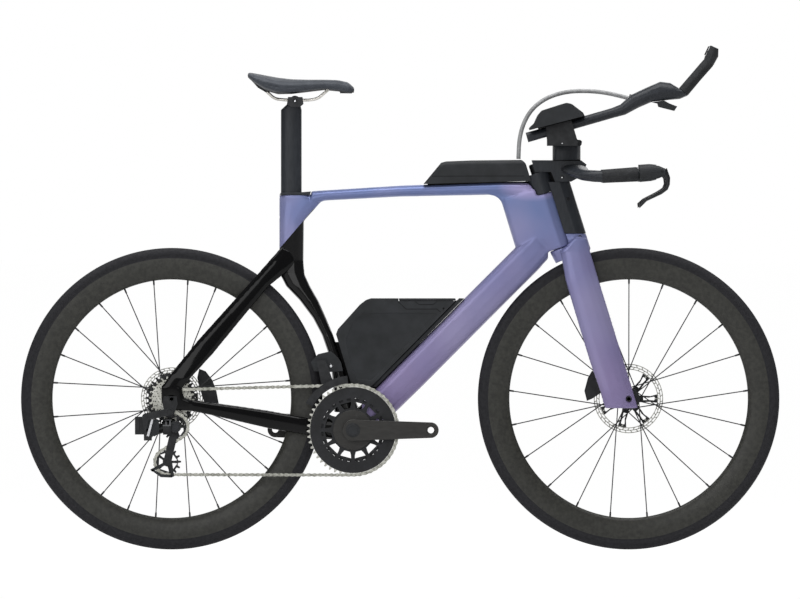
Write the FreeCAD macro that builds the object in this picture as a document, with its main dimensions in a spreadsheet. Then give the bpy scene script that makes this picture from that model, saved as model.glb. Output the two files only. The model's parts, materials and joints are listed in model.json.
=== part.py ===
import FreeCAD, Part
import math
import os
from types import SimpleNamespace

# Time trial bike: +X forward, +Y to the rider's left, +Z up.
# Origin on the ground, midway between the axles, in the centre plane.

V = FreeCAD.Vector
Y_AXIS = V(0, 1, 0)
doc = FreeCAD.newDocument("time_trial_bike")
sheet = doc.addObject("Spreadsheet::Sheet", "sizes")

# Driving dimensions in millimetres, angles in degrees, counts as plain numbers; the rest are formulas.
SIZES = {
    # wheels
    "tyre_radius": 339, "tyre_width": 28, "tyre_height": 23, "tyre_tread": 4.5, "tyre_sidewall": 4.5,
    "rim_width": 27, "rim_depth": 48, "rim_nose_width": 9, "rim_wall": 3, "rim_bed": 5,
    "spoke_width": 2.4, "spoke_thickness": 1, "spoke_seat": 2, "front_spokes": 21, "rear_spokes": 24,
    "axle_radius": 6, "axle_bore_radius": 4, "axle_head_radius": 8.5, "axle_head_length": 4,
    "front_spacing": 100, "rear_spacing": 142, "hub_end_radius": 10, "hub_barrel_radius": 13,
    "flange_radius": 25, "flange_thickness": 4, "front_left_flange": 27, "front_right_flange": 33,
    "rear_left_flange": 37, "rear_right_flange": 19, "rotor_seat_radius": 17, "rotor_thickness": 1.8,
    "front_rotor_radius": 78, "rear_rotor_radius": 70, "rotor_track": 13, "rotor_arm_width": 9,
    "rotor_hub_radius": 24, "rotor_arms": 7, "front_rotor_inset": 11, "rear_rotor_inset": 15.3,
    # drivetrain
    "chain_pitch": 12.7, "roller_radius": 3.8, "roller_width": 2.2, "chain_plate": 0.65, "plate_height": 7.6,
    "plate_gap": 0.1, "steady_links": 3, "big_ring_teeth": 50, "small_ring_teeth": 37, "pulley_teeth": 14,
    "tooth_height": 2.2, "tooth_root": 4.1, "tooth_root_width": 5.2, "tooth_tip_width": 2.4,
    "cog_thickness": 1.6, "cog_spacing": 3.6, "ring_thickness": 2, "ring_spacing": 6.6, "cogs": 12,
    "chainline": 47, "cog_line": 66, "sleeve_radius": 15, "sleeve_bore": 11, "big_ring_bore": 38,
    "small_ring_bore": 66, "window_foot": 49.5, "window_top": 63.5, "slit_foot": 66.5, "slit_top": 71.5,
    "windows": 12, "pulley_windows": 5,
    "ring_pin_radius": 4, "ring_pin_circle": 67.5, "ring_pins": 4, "spider_radius": 45, "spider_thickness": 5,
    "crank_length": 175, "crank_hub_radius": 23.5, "crank_end_radius": 17.5, "crank_thickness": 14,
    "crank_outer": 75, "spindle_radius": 14.4, "pedal_thread_radius": 7.14, "spot_face_radius": 10.5,
    "spot_face_depth": 1.5, "bb_drop": "=tyre_radius * 0.2065", "bb_half_length": 43, "bb_shell_radius": 30,
    "bb_cup_radius": 22,
    "bb_cup_depth": 10, "bb_cup_flange": 1.5, "bb_cup_flange_radius": 24,
    # steering
    "head_angle": 72.5, "fork_rake": 43, "head_radius": "=tyre_radius * 0.0796", "steerer_radius": 14.3,
    "head_bore_radius": 15.6, "bearing_radius": 20.5, "bearing_height": 8, "crown_gap": 1,
    "head_bottom": "=tyre_radius * 1.09", "head_kink": "=tyre_radius * 1.1912",
    "head_top": "=tyre_radius * 1.4646", "head_panel_top": "=tyre_radius * 1.5121",
    "steerer_top": "=tyre_radius * 1.6755", "cover_height": "=tyre_radius * 0.1416",
    "crown_depth": "=tyre_radius * 0.1062", "front_steerer_reach": "=tyre_radius * 0.1873",
    "cover_radius": "=head_radius + 0.2", "steer_clear_radius": "=head_radius + 1.8",
    "crown_radius": "=head_radius", "crown_clear_radius": "=head_radius + 7",
    "stem_rear_radius": "=head_radius - 0.5", "front_steerer_half": 22, "stem_half": 24,
    "wheel_gap": 6, "wheel_slot_half": 20,
    # frame widths
    "top_tube_half": 20, "head_tail_half": 19, "down_tube_half": 26, "seat_tube_half": 16, "stay_half": 7,
    "dropout_thickness": 8, "rear_wheel_gap": 12, "rear_slot_half": 18.5,
    # seat
    "post_half": 11.5, "post_insert": 110, "socket_depth": 172, "barrel_radius": 12, "barrel_half": 16,
    "rail_radius": 3.5, "rail_half_spacing": 22, "clamp_ear": 10, "clamp_bolt_radius": 3,
    # bars
    "bar_half_width": 200, "bar_tube_radius": 13, "bar_bore_radius": 9.3, "plug_radius": 9.1,
    "plug_length": 22,
    "grip_inset": 1.5, "grip_rear_radius": 14.8, "grip_front_radius": 16.2, "lever_half": 5,
    "lever_slot_half": 5.6,
    "lever_pin_radius": 2, "extension_half_spacing": 55, "extension_radius": "=tyre_radius * 0.03274",
    "riser_half": 30,
    "clamp_half": 17, "cup_half": 46, "cup_centre": 94, "cup_trough_radius": 43, "cup_floor": 4,
    "pad_thickness": 7, "mount_half": 9, "hose_radius": 4.75, "button_half": 5, "button_height": 2.2,
    # boxes and brakes
    "box_half": 23, "box_wall": 2.5, "panel_depth": 0.8, "cradle_half": 17, "top_box_half": 22,
    "lid_gap": 0.6,
    "caliper_half": 9, "caliper_slot_half": 2, "hanger_thickness": 6,
    # rear derailleur
    "knuckle_radius": 8, "knuckle_length": 15, "link_length": 44, "link_slant": 40, "link_spacing": 16,
    "link_height": 12, "link_offset": 6.5, "link_rest": 28, "link_thickness": 5, "ear_thickness": 4,
    "pivot_radius": 2, "lower_knuckle_radius": 13,
    "lower_knuckle_length": 25, "cage_plate": 2, "cage_gap": 4.6, "cage_half": 9, "cage_axle_radius": 3,
    "guide_drop": 63, "pulley_distance": 81, "cage_stub_radius": 6, "battery_length": 20,
    # front derailleur
    "front_cage_inner": 42, "front_cage_outer": 55.5, "front_cage_plate": 1.5, "front_mech_depth": 14,
    "front_cage_travel": 7, "front_pin_radius": 3, "front_pin_length": 16,
    "front_cage_gap": 4.5, "front_cage_height": 17,
    # fits, and the millimetres of a pixel for components of a standard size
    "component_scale": 2.248,
    "fit": 0.1, "clearance": 0.4, "overrun": 5,
}

COLUMN_NAME, COLUMN_VALUE = "A", "B"
for row, (alias, value) in enumerate(SIZES.items(), start=1):
    sheet.set(f"{COLUMN_NAME}{row}", alias)
    sheet.set(f"{COLUMN_VALUE}{row}", str(value))
    sheet.setAlias(f"{COLUMN_VALUE}{row}", alias)
doc.recompute()
d = SimpleNamespace(**{alias: float(sheet.get(alias)) for alias in SIZES})

# Photograph scale: outlines are pixel coordinates of an 800 x 599 side view, set out from the axles.
TYRE_RADIUS_PX = 150.8
REAR_AXLE_PX, FRONT_AXLE_PX, BB_PX = (171.8, 398.7), (628.6, 398.7), (353.0, 429.8)
MID_PX, AXLE_HEIGHT_PX = (REAR_AXLE_PX[0] + FRONT_AXLE_PX[0]) / 2, REAR_AXLE_PX[1]
SCALE = d.tyre_radius / TYRE_RADIUS_PX

ROUND_SHARE = 0.48
QUARTER_STEPS, CORD_SIDES = 3, 8


def at(px, py, y=0.0):
    return V((px - MID_PX) * SCALE, y, d.tyre_radius + (AXLE_HEIGHT_PX - py) * SCALE)


REAR_AXLE = V(at(*REAR_AXLE_PX).x, 0, d.tyre_radius)
FRONT_AXLE = V(at(*FRONT_AXLE_PX).x, 0, d.tyre_radius)
BB = V(at(*BB_PX).x, 0, d.tyre_radius - d.bb_drop)


def set_out(centre, centre_px, pixels):
    """Points of a standard component, which keeps its size, from the axis that it belongs to."""
    return [centre + V(px - centre_px[0], 0, centre_px[1] - py) * d.component_scale for px, py in pixels]


# Steering frame: h runs up the axis, r forward from it, y to the left.
TILT = math.radians(90 - d.head_angle)
STEER_UP = V(-math.sin(TILT), 0, math.cos(TILT))
STEER_FORWARD = V(math.cos(TILT), 0, math.sin(TILT))
STEER_FOOT = FRONT_AXLE - STEER_FORWARD * d.fork_rake


def steer(r, h, y=0.0):
    return STEER_FOOT + STEER_FORWARD * r + STEER_UP * h + V(0, y, 0)


def quarter(start, middle, end):
    """Points on a quarter of an ellipse whose tangents meet at middle, without its end point."""
    centre = start + end - middle
    points = []
    for step in range(QUARTER_STEPS):
        turn = math.pi / 2 * step / QUARTER_STEPS
        points.append(centre + (start - centre) * math.cos(turn) + (end - centre) * math.sin(turn))
    return points


def section(front, rear, nose_half, tail_half, nose_length, tail_length, side=Y_AXIS):
    """A streamlined section: elliptical nose at front, flat flanks, rounded tail at rear."""
    along = (front - rear).normalize()
    shoulder, heel = front - along * nose_length, rear + along * tail_length
    nose, tail = side * nose_half, side * tail_half
    points = quarter(shoulder + nose, front + nose, front)
    points += quarter(front, front - nose, shoulder - nose) + [shoulder - nose]
    points += quarter(heel - tail, rear - tail, rear)
    points += quarter(rear, rear + tail, heel + tail) + [heel + tail]
    return Part.makePolygon(points + points[:1])


def tube(rows, nose_share, tail_share):
    """A hull through rows of (front point, rear point, half width), ruled from section to section."""
    wires = []
    for front, rear, half in rows:
        chord = (front - rear).Length
        wires.append(section(front, rear, half, half, chord * nose_share, chord * tail_share))
    return Part.makeLoft(wires, True, True)


def rod(start, end, radius, overrun=0.0):
    along = (end - start).normalize()
    start, end = start - along * overrun, end + along * overrun
    return Part.makeCylinder(radius, (end - start).Length, start, along)


def across(centre, y_from, y_to, radius):
    """A cylinder whose axis is parallel to Y."""
    return rod(V(centre.x, y_from, centre.z), V(centre.x, y_to, centre.z), radius)


def plate(points, y_from, y_to):
    """A closed outline in the side view, given thickness from y_from to y_to."""
    corners = [V(p.x, y_from, p.z) for p in points]
    face = Part.Face(Part.makePolygon(corners + corners[:1]))
    return face.extrude(V(0, y_to - y_from, 0))


def outline(pixels):
    return [at(px, py) for px, py in pixels]


def capsule(centre_a, radius_a, centre_b, radius_b, y_from, y_to):
    """Two discs in the side view and the straight band that is tangent to both."""
    a, b = V(centre_a.x, y_from, centre_a.z), V(centre_b.x, y_from, centre_b.z)
    gap = b - a
    lean = math.acos((radius_a - radius_b) / gap.Length)
    base = math.atan2(gap.z, gap.x)
    corner = [V(math.cos(base + turn), 0, math.sin(base + turn)) for turn in (lean, -lean)]
    back, ahead = a - gap.normalize() * radius_a, b + (b - a).normalize() * radius_b
    upper_a, lower_a = a + corner[0] * radius_a, a + corner[1] * radius_a
    upper_b, lower_b = b + corner[0] * radius_b, b + corner[1] * radius_b
    wire = Part.Wire([
        Part.Arc(upper_a, back, lower_a).toShape(), Part.makeLine(lower_a, lower_b),
        Part.Arc(lower_b, ahead, upper_b).toShape(), Part.makeLine(upper_b, upper_a),
    ])
    return Part.Face(wire).extrude(V(0, y_to - y_from, 0))


def turned(edges_or_points, axle):
    """A profile of (y, radius) points revolved about an axis parallel to Y through axle."""
    corners = [V(axle.x, y, axle.z + r) for y, r in edges_or_points]
    return Part.Face(Part.makePolygon(corners + corners[:1])).revolve(axle, Y_AXIS, 360)


def both_sides(shape):
    return [shape, shape.mirror(V(0, 0, 0), Y_AXIS)]


def joined(*shapes):
    return shapes[0].multiFuse(list(shapes[1:])).removeSplitter()


NODES = []


def add(label, *shapes):
    """A sub-part whose shape was worked out from the sheet."""
    feature = doc.addObject("Part::Feature", label)
    feature.Shape = shapes[0] if len(shapes) == 1 else Part.makeCompound(list(shapes))
    NODES.append(feature)
    return feature


def add_cylinder(label, start, axis, radius, length):
    """A Part::Cylinder whose radius and length follow the sheet."""
    cylinder = doc.addObject("Part::Cylinder", label)
    cylinder.setExpression("Radius", radius)
    cylinder.setExpression("Height", length)
    cylinder.Placement = FreeCAD.Placement(start, FreeCAD.Rotation(V(0, 0, 1), axis))
    return cylinder


def add_cut(label, base, tool):
    """A sub-part made of one sheet-driven feature less another."""
    result = doc.addObject("Part::Cut", label)
    result.Base, result.Tool = base, tool
    NODES.append(result)
    return result


def bent_tube(points, radius):
    """A faceted tube, in a plane of the side view, along runs joined by the largest arcs that they allow."""
    run_share = 0.45
    edges, radii, last = [], [], points[0]
    for before, corner, after in zip(points, points[1:], points[2:]):
        back, ahead = (before - corner), (after - corner)
        cut = run_share * min(back.Length, ahead.Length)
        back.normalize()
        ahead.normalize()
        half_turn = (math.pi - back.getAngle(ahead)) / 2
        bend = cut / math.tan(half_turn)
        bisector = (back + ahead).normalize()
        middle = corner + bisector * (bend / math.cos(half_turn) - bend)
        start, end = corner + back * cut, corner + ahead * cut
        edges += [Part.makeLine(last, start), Part.Arc(start, middle, end).toShape()]
        radii.append(bend)
        last = end
    edges.append(Part.makeLine(last, points[-1]))
    path = Part.Wire(edges)
    normal = (points[1] - points[0]).normalize().cross(Y_AXIS)
    turns = [2 * math.pi * side / CORD_SIDES for side in range(CORD_SIDES)]
    corners = [points[0] + (Y_AXIS * math.cos(turn) + normal * math.sin(turn)) * radius for turn in turns]
    profile = Part.makePolygon(corners + corners[:1])
    solid = path.makePipeShell([profile], True, False)
    return solid, path.Length, radii


# Frame

SEAT_TUBE_PX = [
    (195, 279.5, 310), (202, 279.5, 321), (221, 279.5, 304), (262, 279.5, 303.5), (274, 280, 304.5),
    (286, 286, 310), (300, 299.5, 318), (318, 313, 326), (335, 322, 333), (358, 330, 341), (385, 333, 349.5),
    (412, 334, 360),
]
SEAT_TUBE_WIDTH_SHARES = [1, 1, 1, 1, 1.05, 1.15, 1.2, 1.25, 1.35, 1.5, 1.7, 1.9]
TOP_TUBE_PX = [
    (311.4, 191.2, 205), (325, 190.3, 200.5), (400, 185.6, 196.5), (500, 182, 194.5), (546, 181.5, 200),
]
TOP_TUBE_WIDTH_SHARES = [0.85, 0.85, 1, 1.1, 1.15]
DOWN_TUBE_PX = [
    ((530, 234), (551.5, 255)), ((515, 248), (537.5, 270.5)), ((470, 293), (492.5, 315.5)),
    ((400, 363.5), (422.5, 386)), ((370, 394), (391.5, 416)), ((346, 423), (362, 438)),
]
DOWN_TUBE_WIDTH_SHARES = [0.9, 0.95, 1, 1.05, 1.15, 1.3]
HEAD_REAR_SHARES = [-1.3, -3.6, -3.57]
HEAD_FILLET_PX = [
    (484, 190), (489.5, 194.6), (494.5, 195.6), (498.5, 198), (501.5, 201.6), (503.6, 206.5), (505.5, 213),
    (516, 206), (514, 190),
]
HEAD_FILLET_SHARE = 0.8
CHAIN_STAY_PX = [
    (345, 417, 441), (309, 418, 435), (270, 411, 428.5), (240, 406.5, 421.5), (210, 402.5, 414.5),
    (190, 399.5, 410.5), (176, 395, 409.5),
]
CHAIN_STAY_SPREAD_SHARES = [0.35, 0.355, 0.565, 0.71, 0.85, 0.955, 1]
CHAIN_STAY_WIDTH_SHARES = [1.45, 1.3, 1.3, 1.2, 1.1, 0.75, 0.57]
SEAT_STAY_PX = [
    ((285, 243), (300, 262)), ((272, 257.5), (286, 272.5)), ((255, 277), (268, 287)), ((226, 309), (240, 321)),
    ((198, 340), (213, 354)), ((170, 374.5), (190, 379)), ((162.5, 386), (181, 390)),
]
SEAT_STAY_SPREAD_SHARES = [0.12, 0.24, 0.36, 0.55, 0.77, 0.985, 1]
SEAT_STAY_WIDTH_SHARES = [1, 1, 1, 0.95, 0.9, 0.65, 0.57]
DROPOUT_PX = [
    (162, 385), (182, 388), (184, 397), (192, 400), (191, 410.5), (172, 409.5), (165, 407), (162, 402),
]
SOCKET_PX = (280.9, 301.7)
POST_NOSE_SHARE, POST_TAIL_SHARE = 0.42, 0.3

DROPOUT_Y = (d.rear_spacing + d.dropout_thickness) / 2


def frame_tubes():
    seat_rows = [
        (at(front, py), at(rear, py), d.seat_tube_half * share)
        for (py, rear, front), share in zip(SEAT_TUBE_PX, SEAT_TUBE_WIDTH_SHARES)
    ]
    top_rows = [
        (at(px, upper), at(px, lower), d.top_tube_half * share)
        for (px, upper, lower), share in zip(TOP_TUBE_PX, TOP_TUBE_WIDTH_SHARES)
    ]
    down_rows = [
        (at(*lower), at(*upper), d.down_tube_half * share)
        for (upper, lower), share in zip(DOWN_TUBE_PX, DOWN_TUBE_WIDTH_SHARES)
    ]
    fillet_half = d.top_tube_half * HEAD_FILLET_SHARE
    heights = [d.head_bottom, d.head_kink, d.head_panel_top]
    head_wires = []
    for share, height in zip(HEAD_REAR_SHARES, heights):
        front, rear = steer(d.head_radius, height), steer(d.head_radius * share, height)
        tail = d.head_radius - d.head_tail_half
        head_wires.append(section(front, rear, d.head_radius, d.head_tail_half, d.head_radius, tail))
    return [
        tube(seat_rows, 0.35, 0.3), tube(top_rows, 0.45, 0.4), tube(down_rows, 0.4, 0.2),
        Part.makeLoft(head_wires, True, True),
        plate(outline(HEAD_FILLET_PX), -fillet_half, fillet_half),
        across(BB, -d.bb_half_length, d.bb_half_length, d.bb_shell_radius),
    ]


def frame_stays():
    chain_rows = [
        (at(px, upper, DROPOUT_Y * spread), at(px, lower, DROPOUT_Y * spread), d.stay_half * share)
        for (px, upper, lower), spread, share in zip(
            CHAIN_STAY_PX, CHAIN_STAY_SPREAD_SHARES, CHAIN_STAY_WIDTH_SHARES)
    ]
    seat_rows = [
        (at(*upper, DROPOUT_Y * spread), at(*lower, DROPOUT_Y * spread), d.stay_half * share)
        for (upper, lower), spread, share in zip(
            SEAT_STAY_PX, SEAT_STAY_SPREAD_SHARES, SEAT_STAY_WIDTH_SHARES)
    ]
    inner = d.rear_spacing / 2
    dropout = plate(outline(DROPOUT_PX), inner, inner + d.dropout_thickness)
    left = [tube(chain_rows, 0.35, 0.35), tube(seat_rows, 0.35, 0.35), dropout]
    return left + [shape.mirror(V(0, 0, 0), Y_AXIS) for shape in left]


def post_section(z, grow=0.0):
    rear, front = (at(px, 0).x for px in SOCKET_PX)
    front_point, rear_point = V(front + grow, 0, z), V(rear - grow, 0, z)
    chord = front - rear
    half = d.post_half + grow
    return section(front_point, rear_point, half, half, chord * POST_NOSE_SHARE, chord * POST_TAIL_SHARE)


SEAT_TOP = at(0, SEAT_TUBE_PX[0][0]).z


def frame_solids():
    """The front triangle and the rear stays behind it, less all that passes through them."""
    tubes = joined(*frame_tubes())
    stays = joined(*frame_stays()).cut(tubes).translated(V(-d.fit, 0, 0)).cut(tubes)
    socket_bottom = SEAT_TOP - d.socket_depth
    bearing_seat = d.bearing_radius + d.fit
    cuts = [
        rod(steer(0, 0), steer(0, d.steerer_top), d.head_bore_radius),
        rod(steer(0, d.head_bottom), steer(0, d.head_bottom + d.bearing_height), bearing_seat, d.fit),
        rod(steer(0, d.head_top - d.bearing_height), steer(0, d.head_top), bearing_seat, d.fit),
        rod(steer(0, d.head_top), steer(0, d.steerer_top + d.crown_depth), d.steer_clear_radius),
        rod(steer(0, 0), steer(0, d.head_bottom), d.crown_clear_radius),
        across(BB, -d.bb_half_length, d.bb_half_length, d.bb_cup_radius + d.fit),
        across(REAR_AXLE, -d.rear_slot_half, d.rear_slot_half, d.tyre_radius + d.rear_wheel_gap),
        across(REAR_AXLE, -d.rear_spacing, d.rear_spacing, d.axle_radius + d.fit),
        Part.makeLoft([post_section(socket_bottom, d.fit), post_section(SEAT_TOP + d.overrun, d.fit)],
                      True, True),
    ]
    return [solid.cut(Part.makeCompound(cuts)) for solid in (tubes, stays)]


COLLAR_PX = [(279.5, 194.8), (310, 194.8), (311, 191.4), (300, 192.3), (281, 192.5)]


def seat_collar():
    """The wedge cover that closes the seat tube round the post."""
    cover = plate(outline(COLLAR_PX), -d.seat_tube_half, d.seat_tube_half)
    ends = [SEAT_TOP - d.overrun, SEAT_TOP + 3 * d.overrun]
    hole = Part.makeLoft([post_section(z, d.fit) for z in ends],
                         True, True)
    return cover.cut(hole)


def ring(foot, top, outer, bore):
    return rod(foot, top, outer).cut(rod(foot, top, bore, d.overrun))


FRONT_TRIANGLE, REAR_STAYS = frame_solids()
add("frame", FRONT_TRIANGLE)
add("rear_stays", REAR_STAYS)
add("seat_collar", seat_collar())
HEAD_BEARINGS = [
    ring(steer(0, h), steer(0, h + d.bearing_height), d.bearing_radius, d.steerer_radius + d.fit)
    for h in (d.head_bottom, d.head_top - d.bearing_height)
]


def bb_cup(side):
    face, inner = side * d.bb_half_length, side * (d.bb_half_length - d.bb_cup_depth)
    lip = face + side * d.bb_cup_flange
    body = joined(across(BB, inner, face, d.bb_cup_radius), across(BB, face, lip, d.bb_cup_flange_radius))
    return body.cut(across(BB, -d.crank_outer, d.crank_outer, d.spindle_radius + d.fit))


add("frame_bearings", *HEAD_BEARINGS, bb_cup(-1), bb_cup(1))

# Wheels


CROWN_SHARES = [(1, 0), (0.8, 0.64), (0.3, 1)]


def tyre(axle):
    """A hollow tyre: faceted crown, side walls down to the beads, an arched inside."""
    half, foot, bead = d.tyre_width / 2, d.tyre_radius - d.tyre_height, d.rim_width / 2
    crown = d.tyre_radius - half
    left = [(half * out, crown + half * up) for out, up in CROWN_SHARES]
    right = [(-y, r) for y, r in reversed(left)]
    toe = bead - d.tyre_sidewall
    inside = [(-bead, foot), (-toe, foot), (0, d.tyre_radius - d.tyre_tread), (toe, foot), (bead, foot)]
    return turned(left + right + inside, axle)


RIM_TOP = d.tyre_radius - d.tyre_height
RIM_FOOT = RIM_TOP - d.rim_depth
RIM_SHOULDER_SHARE = 0.5


def rim(axle):
    half, nose = d.rim_width / 2, d.rim_nose_width / 2
    shoulder = RIM_TOP - d.rim_depth * RIM_SHOULDER_SHARE
    bulge = half - d.rim_wall / 2 + d.fit
    outer = turned([(half, RIM_TOP), (bulge, shoulder), (nose, RIM_FOOT), (-nose, RIM_FOOT),
                    (-bulge, shoulder), (-half, RIM_TOP)], axle)
    top, foot = RIM_TOP - d.rim_bed, RIM_FOOT + d.rim_wall
    hollow = turned([(half - d.rim_wall, top), (0, foot), (d.rim_wall - half, top)], axle)
    return outer.cut(hollow)


def hub(axle, half_length, left_flange, right_flange, rotor_y, drive):
    """A hub turned from one bar: end caps, rotor seat, two flanges and, at the rear, a bare freehub axle."""
    bore, end, barrel = d.axle_radius + d.fit, d.hub_end_radius, d.hub_barrel_radius
    half_flange, half_seat = d.flange_thickness / 2, d.rotor_thickness * 2
    right_end = d.sleeve_bore - d.clearance if drive else end
    profile = [
        (half_length, bore), (half_length, end), (rotor_y + half_seat, end),
        (rotor_y + half_seat, d.rotor_seat_radius), (left_flange + half_flange, d.rotor_seat_radius),
        (left_flange + half_flange, d.flange_radius), (left_flange - half_flange, d.flange_radius),
        (left_flange - half_flange, barrel), (half_flange - right_flange, barrel),
        (half_flange - right_flange, d.flange_radius), (-half_flange - right_flange, d.flange_radius),
        (-half_flange - right_flange, right_end), (-half_length, right_end), (-half_length, bore),
    ]
    return turned(profile, axle)


def blade(start, end):
    """A flat spoke: its width lies along the wheel's rim plane."""
    along = (end - start).normalize()
    thick = along.cross(along.cross(Y_AXIS)).normalize()
    wide = along.cross(thick)
    corners = [
        start + wide * (d.spoke_width / 2 * a) + thick * (d.spoke_thickness / 2 * b)
        for a, b in ((-1, -1), (1, -1), (1, 1), (-1, 1))
    ]
    return Part.Face(Part.makePolygon(corners + corners[:1])).extrude(end - start)


TANGENT_TURN = 75.0
FLANGE_SEAT_SHARE = 0.92


def spokes(axle, groups, first, straight_y, crossed_y, gaps):
    """Groups of one radial and two tangential spokes, as gaps gives the tangential ones' angles."""
    made = []
    seat = d.flange_radius * FLANGE_SEAT_SHARE

    def polar(angle, radius, y):
        turn = math.radians(angle)
        return axle + V(math.cos(turn) * radius, y, math.sin(turn) * radius)

    for group in range(int(groups)):
        centre = first + group * 360 / groups
        made.append(blade(polar(centre, seat, straight_y), polar(centre, RIM_FOOT + d.spoke_seat, 0)))
        for gap, turn, lean in ((gaps[0], -TANGENT_TURN, -1), (gaps[1], TANGENT_TURN, 1)):
            hub_y = crossed_y + lean * d.spoke_thickness
            rim_y = math.copysign(d.spoke_thickness, crossed_y)
            made.append(blade(polar(centre + gap + turn, seat, hub_y),
                              polar(centre + gap, RIM_FOOT + d.spoke_seat, rim_y)))
    return made


def rotor(axle, y, outer):
    """A brake disc on a seven-armed carrier."""
    low, high = y - d.rotor_thickness / 2, y + d.rotor_thickness / 2
    inner = outer - d.rotor_track
    track = across(axle, low, high, outer).cut(across(axle, low - d.overrun, high + d.overrun, inner))
    carrier = across(axle, low, high, d.rotor_hub_radius)
    arms = []
    reach = (inner + outer) / 2
    for arm in range(int(d.rotor_arms)):
        turn = 360 / d.rotor_arms * arm
        bar = Part.makeBox(reach, d.rotor_thickness, d.rotor_arm_width,
                           V(axle.x, low, axle.z - d.rotor_arm_width / 2))
        bar.rotate(axle, Y_AXIS, turn)
        arms.append(bar)
    body = joined(track, carrier, *arms)
    return body.cut(across(axle, low - d.overrun, high + d.overrun, d.rotor_seat_radius + d.fit))


FRONT_ROTOR_Y = d.front_spacing / 2 - d.front_rotor_inset
REAR_ROTOR_Y = d.rear_spacing / 2 - d.rear_rotor_inset
FRONT_FIRST_SPOKE, FRONT_SPOKE_GAPS = 38.4, (17.0, 34.8)
REAR_FIRST_SPOKE, REAR_SPOKE_GAPS = 23.3, (14.0, -14.6)
GROUP = 3

add("front_tyre", tyre(FRONT_AXLE))
add("rear_tyre", tyre(REAR_AXLE))
add("front_rim", rim(FRONT_AXLE))
add("rear_rim", rim(REAR_AXLE))
add("front_hub", hub(FRONT_AXLE, d.front_spacing / 2 - d.clearance, d.front_left_flange, d.front_right_flange,
                     FRONT_ROTOR_Y, False))
add("rear_hub", hub(REAR_AXLE, d.rear_spacing / 2 - d.clearance, d.rear_left_flange, d.rear_right_flange,
                    REAR_ROTOR_Y, True))
add("front_spokes", *spokes(FRONT_AXLE, d.front_spokes / GROUP, FRONT_FIRST_SPOKE, -d.front_right_flange,
                            d.front_left_flange, FRONT_SPOKE_GAPS))
add("rear_spokes", *spokes(REAR_AXLE, d.rear_spokes / GROUP, REAR_FIRST_SPOKE, d.rear_left_flange,
                           -d.rear_right_flange, REAR_SPOKE_GAPS))
add("front_rotor", rotor(FRONT_AXLE, FRONT_ROTOR_Y, d.front_rotor_radius))
add("rear_rotor", rotor(REAR_AXLE, REAR_ROTOR_Y, d.rear_rotor_radius))

# Chain path: each wheel is (centre, teeth, sense of turn, lateral line)


def pitch_radius(teeth):
    return d.chain_pitch / (2 * math.sin(math.pi / teeth))


SMALLEST_COG = 10
COG_TEETH = [10, 11, 12, 13, 14, 15, 16, 17, 19, 21, 24, 28]
GUIDE_LEAN = -82.0
GUIDE_TURN = math.radians(GUIDE_LEAN)
GUIDE = REAR_AXLE + V(math.cos(GUIDE_TURN), 0, math.sin(GUIDE_TURN)) * d.guide_drop
SWING_LOW, SWING_HIGH, SWING_STEPS = -135.0, -75.0, 60


def tangent(first, second):
    """The points where a band leaves the first wheel and meets the second."""
    (c1, n1, s1, _), (c2, n2, s2, _) = first, second
    gap = c2 - c1
    ahead = V(gap).normalize()
    left = V(-ahead.z, 0, ahead.x)
    lean = math.acos((pitch_radius(n1) * s1 - pitch_radius(n2) * s2) / gap.Length)
    normal = ahead * math.cos(lean) - left * math.sin(lean)
    return c1 + normal * (pitch_radius(n1) * s1), c2 + normal * (pitch_radius(n2) * s2)


def angle_about(centre, point):
    return math.atan2(point.z - centre.z, point.x - centre.x)


def chain_course(swing):
    """Runs and wraps of the chain for a cage that hangs at the swing angle, each with its pitch count."""
    turn = math.radians(swing)
    tension = GUIDE + V(math.cos(turn), 0, math.sin(turn)) * d.pulley_distance
    wheels = [
        (BB, d.big_ring_teeth, -1, -d.chainline), (tension, d.pulley_teeth, -1, -d.cog_line),
        (GUIDE, d.pulley_teeth, 1, -d.cog_line), (REAR_AXLE, SMALLEST_COG, -1, -d.cog_line),
    ]
    links = [tangent(wheels[i], wheels[(i + 1) % len(wheels)]) for i in range(len(wheels))]
    course = []
    for i, (centre, teeth, sense, line) in enumerate(wheels):
        start, end = angle_about(centre, links[i - 1][1]), angle_about(centre, links[i][0])
        sweep = ((end - start) * sense) % (2 * math.pi)
        step = 2 * math.pi / teeth
        course.append(("wrap", centre, teeth, sense, line, start, sweep / step))
        run_start, run_end = links[i]
        after = wheels[(i + 1) % len(wheels)][3]
        course.append(("run", run_start, run_end, line, after, (run_end - run_start).Length / d.chain_pitch))
    return course, tension


def pitches(course):
    return sum(stretch[-1] for stretch in course)


def settled_cage():
    """The cage angle at which the loop is a whole, even number of pitches."""
    pair = 2
    goal = pair * round(pitches(chain_course((SWING_LOW + SWING_HIGH) / pair)[0]) / pair)
    low, high = SWING_LOW, SWING_HIGH
    rising = pitches(chain_course(high)[0]) > pitches(chain_course(low)[0])
    for _ in range(SWING_STEPS):
        middle = (low + high) / pair
        if (pitches(chain_course(middle)[0]) < goal) == rising:
            low = middle
        else:
            high = middle
    return middle, goal


CAGE_SWING, LINK_COUNT = settled_cage()
COURSE, TENSION = chain_course(CAGE_SWING)


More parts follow.
